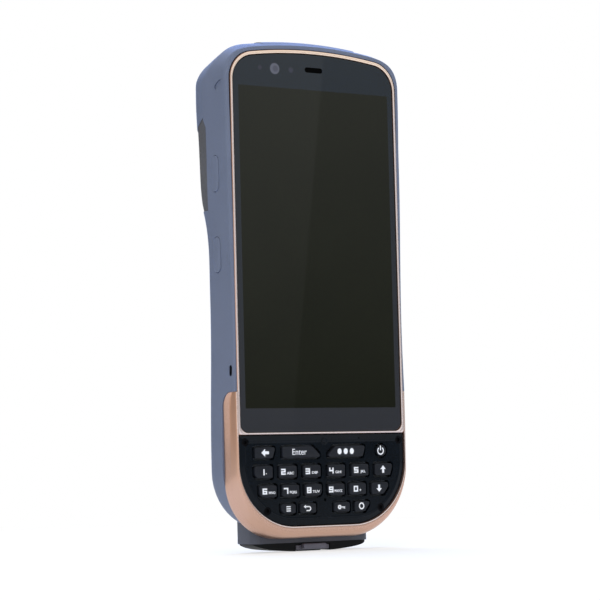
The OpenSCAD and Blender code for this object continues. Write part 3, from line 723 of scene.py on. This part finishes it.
def build_housing():
    bm, in_door = skin(0.15)
    keep_faces(bm, lambda f: not in_door(f))
    open_cheeks(bm)
    shell = walled("housing_shell", bm)
    cutter = bmesh.new()
    for side in (-1, 1):
        for z, length, depth in SIDE_KEYS.values():
            side_slot(cutter, side, z, depth, SIDE_KEY_W + 0.3, length + 0.3, 33, 42)
    box_shape(cutter, SCAN_HW + 0.1, 6.9, 20.6, 186, 200)
    side_slot(cutter, -1, MIC_Z, MIC_DEPTH, 2, 4.2, 33, 42)
    rod(cutter, (0, 27, REAR_CAMERA_Z), 4.75, 12, "y", 48)
    rod(cutter, (FLASH_X, 27, REAR_CAMERA_Z), 2.12, 12, "y")
    for slit in range(-2, 3):
        bar_of(cutter, 3 * slit, SPEAKER_Z, 1.2, 8, 15, 25, 8)
    carve(shell, cutter)
    # The slanted groove high on the left side
    groove = bmesh.new()
    side_slot(groove, -1, 0, 0, 2.1, 5.2, 39.1, 42)
    groove.transform(Matrix.Translation((0, 5.6, 175.2)) @ Matrix.Rotation(radians(64), 4, "X"))
    carve(shell, groove)
    set_crease(shell.data, 35)
    settle(shell, [HOUSING], ["rear_housing"])
    add_bevel(shell, 0.18)
    # A near-black plug just inside the microphone slot, painted shade for the depth of the hole
    slot_shade_plug = bmesh.new()
    side_slot(slot_shade_plug, -1, MIC_Z, MIC_DEPTH, 1.96, 4.16, 36.9, 38.35)
    settle(add_shape("microphone_slot_shade", slot_shade_plug), [SLOT_SHADE_BLACK])


def build_door():
    bm, in_door = skin(0, sunk=0.45)
    keep_faces(bm, in_door)
    door = walled("door_shell", bm)
    settle(door, [DOOR], ["battery_door"], "battery_door")
    add_bevel(door, 0.3)


# ---------------------------- metal frame

# Share of the way from the outer edge of the rim to the glass, and the depth there
RIM_SECTION = [(0, 2.2), (0, 0.35), (0.06, 0.05), (0.22, -0.36), (0.36, -0.47), (0.56, -0.5), (0.74, -0.44),
               (0.86, -0.25), (0.96, 0.1), (0.96, 1.1), (0.6, 1.6), (0, 2.2)]
# Finish of each band of the rim's section: 0 the rose metal, 1 its paler copy with painted highlight, 2 its dark
# copy with painted shade
RIM_FINISH = [2, 2, 0, 1, 1, 1, 1, 2, 2, 2, 0]
# Share of the way from the panel to the front edge of the band, share from there to its back edge, and the
# depth: beside the screen, and under the keypad
BAND_SECTION = [((0, 0, 2.2), (0, 0, 2.2)), ((0, 0, -0.1), (0, 0, -0.12)), ((0.15, 0, -0.42), (0.04, 0, -0.42)),
                ((0.4, 0, -0.5), (0.12, 0, -0.5)), ((0.64, 0, -0.45), (0.28, 0, -0.48)),
                ((0.8, 0, -0.2), (0.46, 0, -0.3)), ((0.85, 0, 0.3), (0.64, 0, 0.15)),
                ((0.85, 0, 1.2), (0.8, 0, 1.0)), ((0.86, 0, 3), (0.9, 0.1, 2.2)),
                ((0.86, 0, 4.6), (0.96, 0.4, 3.8)), ((0.9, 0.1, 4.9), (1, 0.7, 5.4)),
                ((1, 0.8, 7.8), (1, 0.92, 7.4)), ((1, 1, 8.2), (1, 1, 8.2)), ((1, 0.94, 8.35), (1, 0.94, 8.35)),
                ((0, 0, 8.35), (0, 0, 8.35)), ((0, 0, 5), (0, 0, 5)), ((0, 0, 2.2), (0, 0, 2.2))]
# Finish of each band of the band's section: 0 the rose metal, 1 and 4 its paler copies with painted highlight, 2
# and 3 its darker copies with painted shade
BAND_FINISH = [0, 2, 1, 4, 4, 3, 3, 3, 3, 0, 0, 0, 0, 0, 0, 0]
# Heights between which one section turns into the other, and between which its front slips under the rim
BAND_CHANGE = (22, 50)
BAND_TUCK = (43.9, 44.8)
CHEEK_RISES = [36, 40, 42, 43, 43.9, 44.2, 44.5, 44.8, 46, 48, 50, 52, 54.5, 55.8, 57, 58, 58.8, 59.4, 59.8,
               59.95, CHEEK_TOP]


def u_path(hw, corner, bottom=BAND_BOTTOM):
    low = bottom + corner
    return pen_path((-hw, CHEEK_TOP), [
        *[("to", -hw, z) for z in reversed(CHEEK_RISES[:-1])],
        ("to", -hw, low), ("arc", corner - hw, low, 90, 32), ("to", 0, bottom),
        ("to", hw - corner, bottom), ("arc", hw - corner, low, 90, 32), *[("to", hw, z) for z in CHEEK_RISES]])


def band_point(row, p, q, r):
    """Where a row of the band's section lies, from places on the panel's edge and the band's two edges."""
    low = 1 - ease(p.z, *BAND_CHANGE)
    to_front, to_back, depth = (a + (b - a) * low for a, b in zip(*BAND_SECTION[row]))
    if row < 4:
        over = ease(p.z, *BAND_TUCK)
        to_front += (-0.25 - to_front) * over
        depth += (min(depth, -0.38) - depth) * over if row else 0
    rise = max(0, p.z - (CHEEK_TOP - CHEEK_ROUND))
    limit = CHEEK_DEPTH - CHEEK_ROUND + sqrt(max(0, CHEEK_ROUND**2 - rise**2))
    if depth > 2:
        depth = 2 + (depth - 2) * (limit - 2) / (CHEEK_DEPTH - 2)
    place = p.lerp(q, to_front) + (r - q) * to_back
    return Vector((place.x, depth, place.z))


def build_metal_frame():
    bm = bmesh.new()
    rises = [*range(50, 176, 5)]
    outside = tall_loop(RIM_HW, RIM_TOP, RIM_CORNER, PLATE_TOP + 0.05, 0.4, rises, (24, 20, 6))
    inside = tall_loop(GLASS_HW + 0.08, GLASS_TOP + 0.08, GLASS_CORNER, GLASS_BOTTOM - 0.05, GLASS_LOW_CORNER,
                       rises, (24, 20, 6))
    loft(bm, [[p.lerp(q, share) + Vector((0, depth, 0)) for p, q in zip(outside, inside)]
              for share, depth in RIM_SECTION], finishes=RIM_FINISH)
    inner = u_path(PLATE_HW + 0.08, PLATE_CORNER, PLATE_BOTTOM - 0.08)
    edges = list(zip(inner, u_path(BAND_HW, BAND_CORNER), u_path(FLARE_HW, FLARE_CORNER)))
    loft(bm, [[band_point(row, *places) for places in edges] for row in range(len(BAND_SECTION))],
         closed=False, finishes=BAND_FINISH)
    merge(bm, 0.005)
    close_ends(bm)
    # The frame takes the rose metal and its paler and darker copies, which paint highlight and shade onto its
    # faces
    settle(add_shape("metal_frame", bm, crease=50), [ROSE, ROSE_EDGE_HIGHLIGHT, ROSE_PAINTED_SHADE, ROSE_SIDE_SHADE, ROSE_FRONT_HIGHLIGHT],
           ["front_frame"])


# ---------------------------- screen

def build_screen():
    bm = bmesh.new()
    edge = tall_loop(GLASS_HW, GLASS_TOP, GLASS_CORNER, GLASS_BOTTOM, GLASS_LOW_CORNER, [*range(50, 176, 6)],
                     (24, 20, 8))
    face = bm.faces.new([bm.verts.new(point + Vector((0, GLASS_THICKNESS, 0))) for point in edge])
    soften(bm, edges_of(thicken(bm, [face], -GLASS_THICKNESS)), 0.25)
    glass = add_shape("screen_glass", bm)
    earpiece = bmesh.new()
    bar_of(earpiece, 0, GLASS_TOP - 5.9, 8.1, 2, -3, 3)
    carve(glass, earpiece)
    set_crease(glass.data, 12)
    settle(glass, [SCREEN], ["cover_glass"])


# ---------------------------- keypad

# Corner of a key: how far it is cut across and up, and whether the cut is round
ROUND, BIG = (0.8, 0.8, True), (1.9, 1.9, True)
LEAN, CUT, SWEEP = (1, 3, False), (3.3, 3, False), (2.2, 2.8, False)
ROWS = [37.3, 30.1, 23.0, 16.3]
# Name, middle, row, width, height, and the corners that aren't ROUND, from lower left anticlockwise
KEYS = [
    ("back", -26.5, 0, 8.7, 4.0, {1: LEAN}), ("enter", -10.4, 0, 16.6, 4.1, {2: CUT}),
    ("more", 10.2, 0, 16.6, 4.1, {1: LEAN, 3: CUT}), ("power", 26.3, 0, 4.4, 4.4, {}),
    ("1", -27.1, 1, 7.9, 4.5, {0: BIG}), ("2", -16.4, 1, 7.8, 4.5, {}), ("3", -5.7, 1, 7.8, 4.5, {}),
    ("4", 5.4, 1, 7.8, 4.5, {}), ("5", 16.2, 1, 7.8, 4.5, {}), ("up", 27.1, 1, 8.0, 4.5, {1: LEAN}),
    ("6", -25.4, 2, 7.6, 4.4, {0: BIG}), ("7", -15.4, 2, 7.6, 4.4, {}), ("8", -5.3, 2, 7.6, 4.4, {1: BIG}),
    ("9", 5.1, 2, 7.6, 4.4, {0: BIG}), ("0", 14.9, 2, 7.6, 4.4, {}), ("down", 25.2, 2, 7.8, 4.4, {1: SWEEP}),
    ("menu", -16.6, 3, 6.4, 3.6, {0: BIG}), ("undo", -7.8, 3, 7.1, 3.6, {}),
    ("lock", 7.5, 3, 7.1, 3.6, {}), ("ok", 16.7, 3, 6.7, 3.7, {1: SWEEP}),
]
KEY_TOP = -0.72
KEY_FOOT = 1.8
PLATE_FACE = -0.15
PLATE_RIDGE = -0.3
WELL_GAP = 0.78


def key_face(bm, key, depth, grow=0.0):
    """The outline of a key as a face at a depth, grown all round."""
    name, x, row, width, height, special = key
    z = ROWS[row]
    if name == "power":
        place = Matrix.Translation((x, depth, z)) @ Matrix.Rotation(pi / 2, 4, "X")
        made = bmesh.ops.create_circle(bm, cap_ends=True, segments=40, radius=width / 2 + grow, matrix=place)
        return made["verts"][0].link_faces[0]
    points, rounds = [], []
    for corner, (sx, sz) in enumerate(((-1, -1), (1, -1), (1, 1), (-1, 1))):
        across, up, is_round = special.get(corner, ROUND)
        cx, cz = sx * (width / 2 + grow), sz * (height / 2 + grow)
        if is_round:
            points.append((cx, cz))
            rounds.append(across + grow * 0.5)
            continue
        cut = [(cx - sx * across, cz), (cx, cz - sz * up)]
        points += cut if sx * sz < 0 else cut[::-1]
        rounds += [0.35, 0.35]
    verts = [bm.verts.new((x + px, depth, z + pz)) for px, pz in points]
    bm.faces.new(verts)
    for radius in sorted(set(rounds)):
        chosen = [v for v, r in zip(verts, rounds) if r == radius and v.is_valid]
        bevel(bm, chosen, radius, 6 if radius > 0.5 else 3, "VERTICES")
    flat = [f for f in bm.faces if all(abs(v.co.y - depth) < 1e-6 for v in f.verts)
            and abs(mid(f).x - x) < width / 2 and abs(mid(f).z - z) < 2.5]
    return max(flat, key=lambda f: f.calc_area())


# How far in from the plate's edge, and the depth there
PLATE_STEPS = [(0, 2), (0, 0.5), (0.1, 0.3), (0.3, 0.2), (1.2, -0.02), (2.0, -0.24), (2.2, PLATE_RIDGE),
               (2.35, PLATE_RIDGE - 0.01), (2.55, PLATE_RIDGE + 0.03), (2.85, PLATE_FACE - 0.02),
               (3.0, PLATE_FACE), (3.3, PLATE_FACE)]


def plate_loop(inset, depth):
    hw, bottom, top = PLATE_HW - inset, PLATE_BOTTOM + inset, PLATE_TOP - inset
    low, high = PLATE_CORNER - inset, max(0.5, 1 - 0.5 * inset)
    return [p + Vector((0, depth, 0)) for p in pen_path((0, bottom), [
        ("to", hw - low, bottom), ("arc", hw - low, bottom + low, 90, 36), ("to", hw, top - high),
        ("arc", hw - high, top - high, 90, 6), ("to", high - hw, top), ("arc", high - hw, top - high, 90, 6),
        ("to", -hw, bottom + low), ("arc", low - hw, bottom + low, 90, 36)])]


# Radius and depth round the raised ring on the plate's middle line, and the place of the ring
RING_SECTION = [(1.5, 0.15), (1.5, -0.22), (1.25, -0.34), (0.95, -0.3), (0.75, -0.1), (0.55, 0.15), (1.5, 0.15)]
RING_X, RING_Z = 0.3, 41.3


def build_plate():
    bm = bmesh.new()
    loft(bm, [plate_loop(inset, depth) for inset, depth in PLATE_STEPS])
    close_ends(bm)
    plate = add_shape("keypad_plate", bm)
    wells = bmesh.new()
    for key in KEYS:
        thicken(wells, [key_face(wells, key, -2, WELL_GAP)], 7)
    for x, z in SCREW_PLACES:
        for side in (-1, 1):
            rod(wells, (side * x, -1, z), 1.5, 4.4, "y")
    rod(wells, (0.2, -0.2, 19.2), 0.55, 2, "y", 20)
    rod(wells, (16.3, -0.2, 42.2), 0.3, 2, "y", 16)
    carve(plate, wells)
    trims = bmesh.new()
    ring = pen_path((0, 0), [("to", radius, depth) for radius, depth in RING_SECTION])[1:]
    profile = [trims.verts.new((RING_X + p.x, p.z, RING_Z)) for p in ring]
    edges = [trims.edges.new(pair) for pair in zip(profile, profile[1:])]
    bmesh.ops.spin(trims, geom=profile + edges, cent=(RING_X, 0, RING_Z), axis=(0, 1, 0), angle=tau, steps=32,
                   use_merge=True)
    merge(trims, 0.001)
    soft_box(trims, (2.6, -0.24, 0.2, 12.35, 13.1, 0.1), 0.15, 2)
    settle(add_shape("plate_marks", trims), [PLATE])
    settle(plate, [PLATE], ["keypad_panel"])
    set_crease(plate.data, 25)
    add_bevel(plate, 0.22, harden=True)


# ---------------------------- legends

def raised(bm, outlines, thickness=0.05):
    """Closed flat shapes, each given by its corner points, raised a little."""
    for points in outlines:
        face = bm.faces.new([bm.verts.new((x, 0, z)) for x, z in points])
        thicken(bm, [face], -thickness)


def lettering(bm, text, size, x, z, stretch=1.0, weight=0.0):
    """Text as a raised mesh, its middle at x and z."""
    curve = bpy.data.curves.new("lettering", "FONT")
    curve.body = text
    curve.size = size
    curve.align_x, curve.align_y = "CENTER", "CENTER"
    curve.extrude = 0.025
    curve.offset = weight
    curve.resolution_u = 3
    letters = add_object("lettering", curve)
    mesh = evaluated_mesh(letters)
    turn = Matrix.Rotation(pi / 2, 4, "X")
    mesh.transform(Matrix.Translation((x, -0.025, z)) @ turn @ Matrix.Diagonal((stretch, 1, 1, 1)))
    bm.from_mesh(mesh)
    bpy.data.objects.remove(letters)
    bpy.data.meshes.remove(mesh)


def arc_stroke(bm, cx, cz, radius, width, start, end, steps=20):
    """A curved stroke about a centre, from one angle to another. It has to be a legend's first shape."""
    angles = [radians(start + (end - start) * k / steps) for k in range(steps + 1)]
    outer, inner = ([(cx + r * cos(a), 0, cz + r * sin(a)) for a in angles]
                    for r in (radius + width / 2, radius - width / 2))
    for k in range(steps):
        bm.faces.new([bm.verts.new(p) for p in (outer[k], outer[k + 1], inner[k + 1], inner[k])])
    merge(bm, 0.001)
    thicken(bm, bm.faces[:], -0.05)


def arrow(cx, cz, size, turn):
    """Corner points of a block arrow that points right, turned by some degrees."""
    shape = [(-0.9, -0.32), (0.05, -0.32), (0.05, -0.85), (1.0, 0), (0.05, 0.85), (0.05, 0.32), (-0.9, 0.32)]
    c, s = cos(radians(turn)), sin(radians(turn))
    return [(cx + size * (x * c - z * s), cz + size * (x * s + z * c)) for x, z in shape]


def oval(cx, cz, rx, rz, steps=20):
    return [(cx + rx * cos(tau * k / steps), cz + rz * sin(tau * k / steps)) for k in range(steps)]


def bar(cx, cz, w, h):
    return [(cx - w / 2, cz - h / 2), (cx + w / 2, cz - h / 2), (cx + w / 2, cz + h / 2), (cx - w / 2, cz + h / 2)]


# Strokes of each digit: top, middle, bottom, then upper left and right, lower left and right
DIGITS = {"0": "TBabcd", "1": "bd", "2": "TMBbc", "3": "TMBbd", "4": "Mabd", "5": "TMBad", "6": "TMBacd",
          "7": "Tbd", "8": "TMBabcd", "9": "TMBabd"}


def digit(bm, figure, cx, width=2.0, height=2.25, stroke=0.55):
    """A squarish digit made of straight strokes."""
    side, level = (width - stroke) / 2, (height - stroke) / 2
    for mark in DIGITS[figure]:
        if mark in "TMB":
            raised(bm, [bar(cx, level * ("BMT".index(mark) - 1), width, stroke)])
        else:
            x = cx + side * (1 if mark in "bd" else -1)
            z = level / 2 * (1 if mark in "ab" else -1)
            raised(bm, [bar(x, z, stroke, level - stroke + 0.02)])
    for x, z in {(side * (1 if mark in "bd" else -1), level * end) for mark in DIGITS[figure] if mark in "abcd"
                 for end in ((0, 1) if mark in "ab" else (0, -1))}:
        if "BMT"[round(z / level) + 1] not in DIGITS[figure]:
            raised(bm, [bar(cx + x, z, stroke, stroke)])


ARC_LEGENDS = {"power": (0, -0.1, 1.3, 0.45, 125, 415), "undo": (0.65, -0.15, 0.75, 0.45, -90, 90, 12),
               "lock": (-0.75, 0, 0.55, 0.6, 0, 360)}
FLAT_LEGENDS = {
    "back": [arrow(0.6, 0, 1.75, 180)],
    "more": [oval(0.5 + 2.8 * k, 0, 0.92, 1.15) for k in (-1, 0, 1)],
    "power": [bar(0, 0.95, 0.42, 1.8)],
    "up": [arrow(0.3, 0, 1.5, 90)],
    "down": [arrow(0.2, 0, 1.45, -90)],
    "menu": [bar(0.4, z, 1.9, 0.4) for z in (-0.8, 0, 0.8)],
    "undo": [bar(-0.05, 0.6, 1.45, 0.45), bar(0.1, -0.9, 1.15, 0.45), [(-1.7, 0.6), (-0.7, -0.1), (-0.7, 1.3)]],
    "lock": [bar(0.75, 0, 1.9, 0.4), bar(1.45, -0.35, 0.38, 0.6), bar(0.8, -0.3, 0.34, 0.45)],
}
TEXT_LEGENDS = {"enter": ("Enter", 3.25, 0.5, 0, 0.92, 0.004), "ok": ("O", 3.6, 0.1, 0, 0.88, 0.09),
                "1": (".", 2.6, 0.95, 0.1, 1, 0.05), "0": ("+", 1.7, 1.5, -0.6, 1, 0.03)}
LETTERS = {"2": "ABC", "3": "DEF", "4": "GHI", "5": "JKL", "6": "MNO", "7": "PQRS", "8": "TUV", "9": "WXYZ"}
LETTER_STRETCH = {"6": 0.95, "7": 1.0, "9": 0.95}
for figure, group in LETTERS.items():
    TEXT_LEGENDS[figure] = (group, 1.3, 1.15, -0.6, LETTER_STRETCH.get(figure, 1.25), 0.03)
DIGIT_X = {"1": -0.75, "0": -0.5}
# How far a legend sits to the side of its key's middle
LEGEND_SHIFT = {"enter": -1.4, "more": -1.0, "up": -0.6, "down": -0.7, "1": 0, "2": -0.2, "3": 0, "5": 0.1,
                "6": 0.45, "7": -0.2, "8": 0}


def legend_mesh(name, place):
    bm = bmesh.new()
    if name in ARC_LEGENDS:
        arc_stroke(bm, *ARC_LEGENDS[name])
    raised(bm, FLAT_LEGENDS.get(name, []))
    if name in DIGITS:
        digit(bm, name, DIGIT_X.get(name, -2.0))
    if name in TEXT_LEGENDS:
        lettering(bm, *TEXT_LEGENDS[name])
    merge(bm, 0.0005)
    face_outwards(bm)
    bm.transform(Matrix.Translation(place))
    for face in bm.faces:
        face.material_index = 1
    return mesh_of("legend", bm)


def build_keys():
    for key in KEYS:
        name, x, row = key[:3]
        bm = bmesh.new()
        soften(bm, edges_of(thicken(bm, [key_face(bm, key, KEY_FOOT)], KEY_TOP - KEY_FOOT)), 0.3)
        face_outwards(bm)
        legend = legend_mesh(name, (x + LEGEND_SHIFT.get(name, -0.45), KEY_TOP + 0.01, ROWS[row]))
        bm.from_mesh(legend)
        bpy.data.meshes.remove(legend)
        cap = add_shape("cap_" + name, bm, outward=False)
        settle(cap, [KEYCAP, LEGEND], ["key_" + name], "key_" + name)


# ---------------------------- side keys, foot and sole

def build_side_keys():
    for side, word in ((-1, "left"), (1, "right")):
        for level, (z, length, depth) in SIDE_KEYS.items():
            body = word + "_key_" + level
            low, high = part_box(body)
            out = (-low.x if side < 0 else high.x) / MM
            bm = bmesh.new()
            side_slot(bm, side, z, depth, SIDE_KEY_W, length, 36, out)
            soften(bm, [e for e in bm.edges if min(abs(v.co.x) for v in e.verts) > out - 0.01], 0.6, 4)
            settle(add_shape("pad_" + word + "_" + level, bm), [HOUSING], [body], body)


FOOT_HW = 26.4
SOLE_HW = 25.6
FOOT_FRONT = 8.8
FOOT_BACK = 20.8
SOLE_TOP = 3.3
# Height of the underside of the sole by the distance from its middle
SOLE_BOW = [(0, 0), (8, 0.08), (12, 0.3), (15.3, 0.6), (19, 1.0), (22, 1.6), (23.6, 2.1), (24.8, 2.6), (25.6, 3.1)]
SOLE_SLICES = (2, 5, 8, 10, 12, 14, 16, 18, 20, 21.5, 22.6, 23.6, 24.6)
CONTACT_PLACES = [-19, -14, 14, 19]
CONTACT_Y = 14
FLAP_PIN = (0, 17.4, 1.5)


def foot_blank(bm, hw, low, high):
    """A block with rounded upright corners."""
    box_shape(bm, hw, FOOT_FRONT, FOOT_BACK, low, high)
    for near, far, width, segments in ((0, FOOT_FRONT + 1, 3.6, 10), (FOOT_BACK - 0.01, 99, 0.8, 5)):
        soften(bm, [e for e in bm.edges if abs(e.verts[0].co.z - e.verts[1].co.z) > 0.1
                    and near < min(v.co.y for v in e.verts) < far], width, segments)


def build_foot():
    bm = bmesh.new()
    foot_blank(bm, FOOT_HW, SOLE_TOP, 20)
    soften(bm, [e for e in bm.edges if max(v.co.z for v in e.verts) < SOLE_TOP + 0.01
                and min(abs(v.co.x) for v in e.verts) > FOOT_HW - 0.01], 2.4, 6)
    # The foot block takes the darker blue, which paints the shade under the band
    settle(add_shape("foot_block", bm, crease=40), [FOOT_SHADED_BLUE])

    bm = bmesh.new()
    foot_blank(bm, SOLE_HW, 0, SOLE_TOP + 0.1)
    for x in [side * x for side in (-1, 1) for x in SOLE_SLICES]:
        slice_faces(bm, bm.faces[:], (x, 0, 0), (1, 0, 0))
    for vert in bm.verts:
        if vert.co.z < 1:
            vert.co.z = follow(SOLE_BOW, abs(vert.co.x))
    sole = add_shape("sole", bm)
    cutter = bmesh.new()
    box_shape(cutter, 7.8, 5, 19.6, -2, 2.6)
    box_shape(cutter, 5.25, 11.6, 16.4, 0, 8)
    for x in CONTACT_PLACES:
        rod(cutter, (x, CONTACT_Y, 1), 1.35, 12, "z", 24)
    rod(cutter, FLAP_PIN, 0.58, 19.2, "x", 20)
    carve(sole, cutter)
    set_crease(sole.data, 30)
    settle(sole, [SOLE], ["foot_sole"])
    add_bevel(sole, 0.3, 3)


def build_contacts():
    """Gold pads set a little above the underside of the sole."""
    bm = bmesh.new()
    for x in CONTACT_PLACES:
        low = follow(SOLE_BOW, abs(x)) + 0.35
        verts = rod(bm, (x, CONTACT_Y, (low + 6) / 2), 1.15, 6 - low, "z", 28)
        soften(bm, [e for e in edges_of(verts) if max(v.co.z for v in e.verts) < low + 0.01], 0.3)
    settle(add_shape("contact_pads", bm), [GOLD], ["charge_contacts"])


def build_port_flap():
    bm, tab, barrel, bore = (bmesh.new() for _ in range(4))
    soft_box(bm, (7.5, 9.0, 17.3, 0.5, 2.3), 0.25, 3)
    soft_box(tab, (5.1, 6.95, 9.4, 0.72, 2.85), 0.45, 4)
    rod(barrel, FLAP_PIN, 1.0, 14.8, "x")
    rod(bore, FLAP_PIN, 0.55, 30, "x", 24)
    flap = add_shape("port_flap", bm)
    carve(flap, tab, "UNION")
    carve(flap, barrel, "UNION")
    carve(flap, bore)
    set_crease(flap.data, 35)
    settle(flap, [TAB], ["port_cover"], "port_cover")


# ---------------------------- scan window in the top

def arched_block(bm, hw, drop, thickness, near, far, steps=18):
    """A slab whose top and underside follow the crown of the housing."""
    radius = CROWN_R - drop
    middle = SCAN_TOP - CROWN_R
    half = asin(hw / radius)
    points = pen_path((hw, middle + radius * cos(half)), [("arc", 0, middle, degrees(2 * half), steps)])
    lower = [Vector((p.x, 0, p.z - thickness)) for p in reversed(points)]
    face = bm.faces.new([bm.verts.new((p.x, near, p.z)) for p in points + lower])
    thicken(bm, [face], far - near)


def build_scan_window():
    bm = bmesh.new()
    arched_block(bm, SCAN_HW, 0, 3.4, 7, 20.5)
    bezel = add_shape("scan_bezel_ring", bm)
    cutter = bmesh.new()
    box_shape(cutter, PANE_HW, 9, 18.5, 180, 200)
    carve(bezel, cutter)
    set_crease(bezel.data, 30)
    settle(bezel, [INNER], ["scan_bezel"])
    add_bevel(bezel, 0.25)
    bm = bmesh.new()
    arched_block(bm, PANE_HW - 0.08, 0.75, 1.2, 9.08, 18.42)
    soften(bm, [e for e in bm.edges if e.calc_face_angle(0) > radians(50)], 0.12, 2)
    settle(add_shape("scan_pane", bm), [FILTER], ["scan_window"])


for build in (build_housing, build_door, build_metal_frame, build_screen, build_plate, build_keys,
              build_side_keys, build_foot, build_contacts, build_port_flap, build_scan_window):
    build()


# ---------------------------- CAD nodes that stay

SLOT_OF = {row["node"]: row.get("material_slot") for row in frame["record"]["subparts"]}
for node, piece in frame["nodes"].items():
    if piece.hide_render:
        continue
    # The earpiece mesh takes the near-black finish: partly its own dark colour, partly painted shade for the slot
    # in the glass before it
    finish = SLOT_SHADE_BLACK if node == "earpiece_mesh" else SLOT_FINISH[SLOT_OF[node]]
    if not piece.material_slots:
        piece.data.materials.append(finish)
    for slot in piece.material_slots:
        slot.material = finish


# ---------------------------- camera, stage and light

AZIMUTH, ELEVATION, ROLL = (radians(a) for a in (-33.2485, -4.1955, -1.4429))
DISTANCE = 869.63 * MM
TARGET = Vector((-8.80, GLASS_Y, 94.48)) * MM
FOCAL_LENGTH = 138.47
WHITE = (1, 1, 1)


def build_camera():
    back = Vector((sin(AZIMUTH) * cos(ELEVATION), -cos(AZIMUTH) * cos(ELEVATION), sin(ELEVATION)))
    level = Vector((0, 0, 1)).cross(back).normalized()
    upward = back.cross(level)
    right = level * cos(ROLL) + upward * sin(ROLL)
    up = upward * cos(ROLL) - level * sin(ROLL)
    data = bpy.data.cameras.new("camera")
    data.sensor_width = 36
    data.lens = FOCAL_LENGTH
    data.clip_start, data.clip_end = 0.05, 50
    camera = add_object("camera", data)
    camera.matrix_world = Matrix.Translation(TARGET + back * DISTANCE) @ Matrix(
        (right, up, back)).transposed().to_4x4()
    bpy.context.scene.camera = camera


def card(name, start, end, low, high, glow, split=None, soft_to=None, tint=WHITE):
    """An upright studio card that only mirrors see, with its glow at its lower and its upper edge.

    Past the split line, given by the places where it leaves the lower and the upper edge, it is a shade darker.
    Its first side melts into the white room as far as soft_to.
    """
    bm = bmesh.new()
    corners = [(*start, low), (*end, low), (*end, high), (*start, high)]
    bm.faces.new([bm.verts.new(corner) for corner in corners])
    n = Nodes(name)
    axes = n.split_place()
    shade = n.span(axes["Z"], low, high, *glow)
    if split:
        line = n.span(axes["Z"], low, high, *split)
        past = n.span(n.sum(axes["X"], line, "SUBTRACT"), -0.001, 0.001, 1, 0.78)
        shade = n.sum(shade, past, "MULTIPLY")
    if soft_to is not None:
        melt = n.span(axes["X"], start[0], soft_to, 1, 0)
        shade = n.sum(n.sum(shade, n.sum(1.0, melt, "SUBTRACT"), "MULTIPLY"), melt)
    n.show(n.add("ShaderNodeEmission", {"Strength": shade, "Color": tint}))
    mesh = mesh_of(name, bm)
    mesh.materials.append(n.owner)
    piece = add_object(name, mesh)
    piece.visible_camera = piece.visible_diffuse = piece.visible_shadow = piece.visible_transmission = False


def area_light(name, place, size, power, tint=WHITE):
    """A square light that faces the middle of the terminal."""
    data = bpy.data.lights.new(name, "AREA")
    data.color = tint
    data.size = size
    data.energy = power
    lamp = add_object(name, data)
    lamp.location = place
    lamp.rotation_euler = (Vector(place) - Vector((0, 0, 0.1))).to_track_quat("Z", "Y").to_euler()
    lamp.visible_glossy = False


def build_floor():
    """A white floor that keeps a soft shadow near the terminal and is plain white farther away."""
    bm = bmesh.new()
    bmesh.ops.create_grid(bm, x_segments=8, y_segments=8, size=6, matrix=Matrix.Translation((0, 0, -0.0001)))
    n = Nodes("floor")
    n.put("Base Color", n.blend(n.vary(n.noise(4, 2), 0, 1), (0.90, 0.90, 0.90), (0.92, 0.92, 0.92)))
    n.put("Roughness", 0.9)
    n.put("Specular IOR Level", 0)
    away = n.add("ShaderNodeVectorMath", {0: n.place}, operation="LENGTH").outputs["Value"]
    share = n.sum(n.span(away, 0.08, 0.5, 0.6, 1), n.seen(), "MULTIPLY")
    white = n.add("ShaderNodeEmission", {"Strength": 1.0, "Color": WHITE})
    shaded = n.tree.nodes["Principled BSDF"]
    n.show(n.add("ShaderNodeMixShader", {0: share, 1: shaded.outputs[0], 2: white.outputs[0]}))
    mesh = mesh_of("floor", bm)
    mesh.materials.append(n.owner)
    add_object("floor", mesh)


def build_world():
    """A white room for the eye, and a softer one for the light it gives."""
    world = bpy.data.worlds.new("studio")
    bpy.context.scene.world = world
    n = Nodes("studio", world)
    room = n.add("ShaderNodeBackground", {"Color": (0.95, 0.97, 1), "Strength": 0.62})
    white = n.add("ShaderNodeBackground", {"Color": WHITE, "Strength": 1})
    n.show(n.add("ShaderNodeMixShader", {0: n.seen(), 1: room.outputs[0], 2: white.outputs[0]}), "World Output")


bpy.context.scene.view_settings.view_transform = "Standard"
build_camera()
build_floor()
build_world()
area_light("key_light", (-0.9, -1.1, 1.3), 1.0, 14)
area_light("fill_light", (1.2, -1.0, 0.7), 1.0, 5)
area_light("back_light", (0.2, 1.3, 1.1), 1.0, 8)
area_light("top_light", (0.1, 0.3, 1.5), 0.6, 14, tint=(0.4, 0.56, 1))
card("front_card", (-0.5, -1.5), (2.6, -1.5), -0.05, 0.62, (0.093, 0.9), split=(0.935, 1.021), soft_to=0.0)
card("side_card", (0.6, 1.5), (-1.5, 1.5), -0.05, 1.2, (0.12, 0.25))
card("right_card", (2.7, -1.5), (2.7, 1.4), -0.05, 1.2, (0.3, 0.45))
card("sky_card", (3.2, 1.6), (0.2, 1.6), 0.35, 3, (3.0, 3.5), tint=(0.31, 0.45, 1))
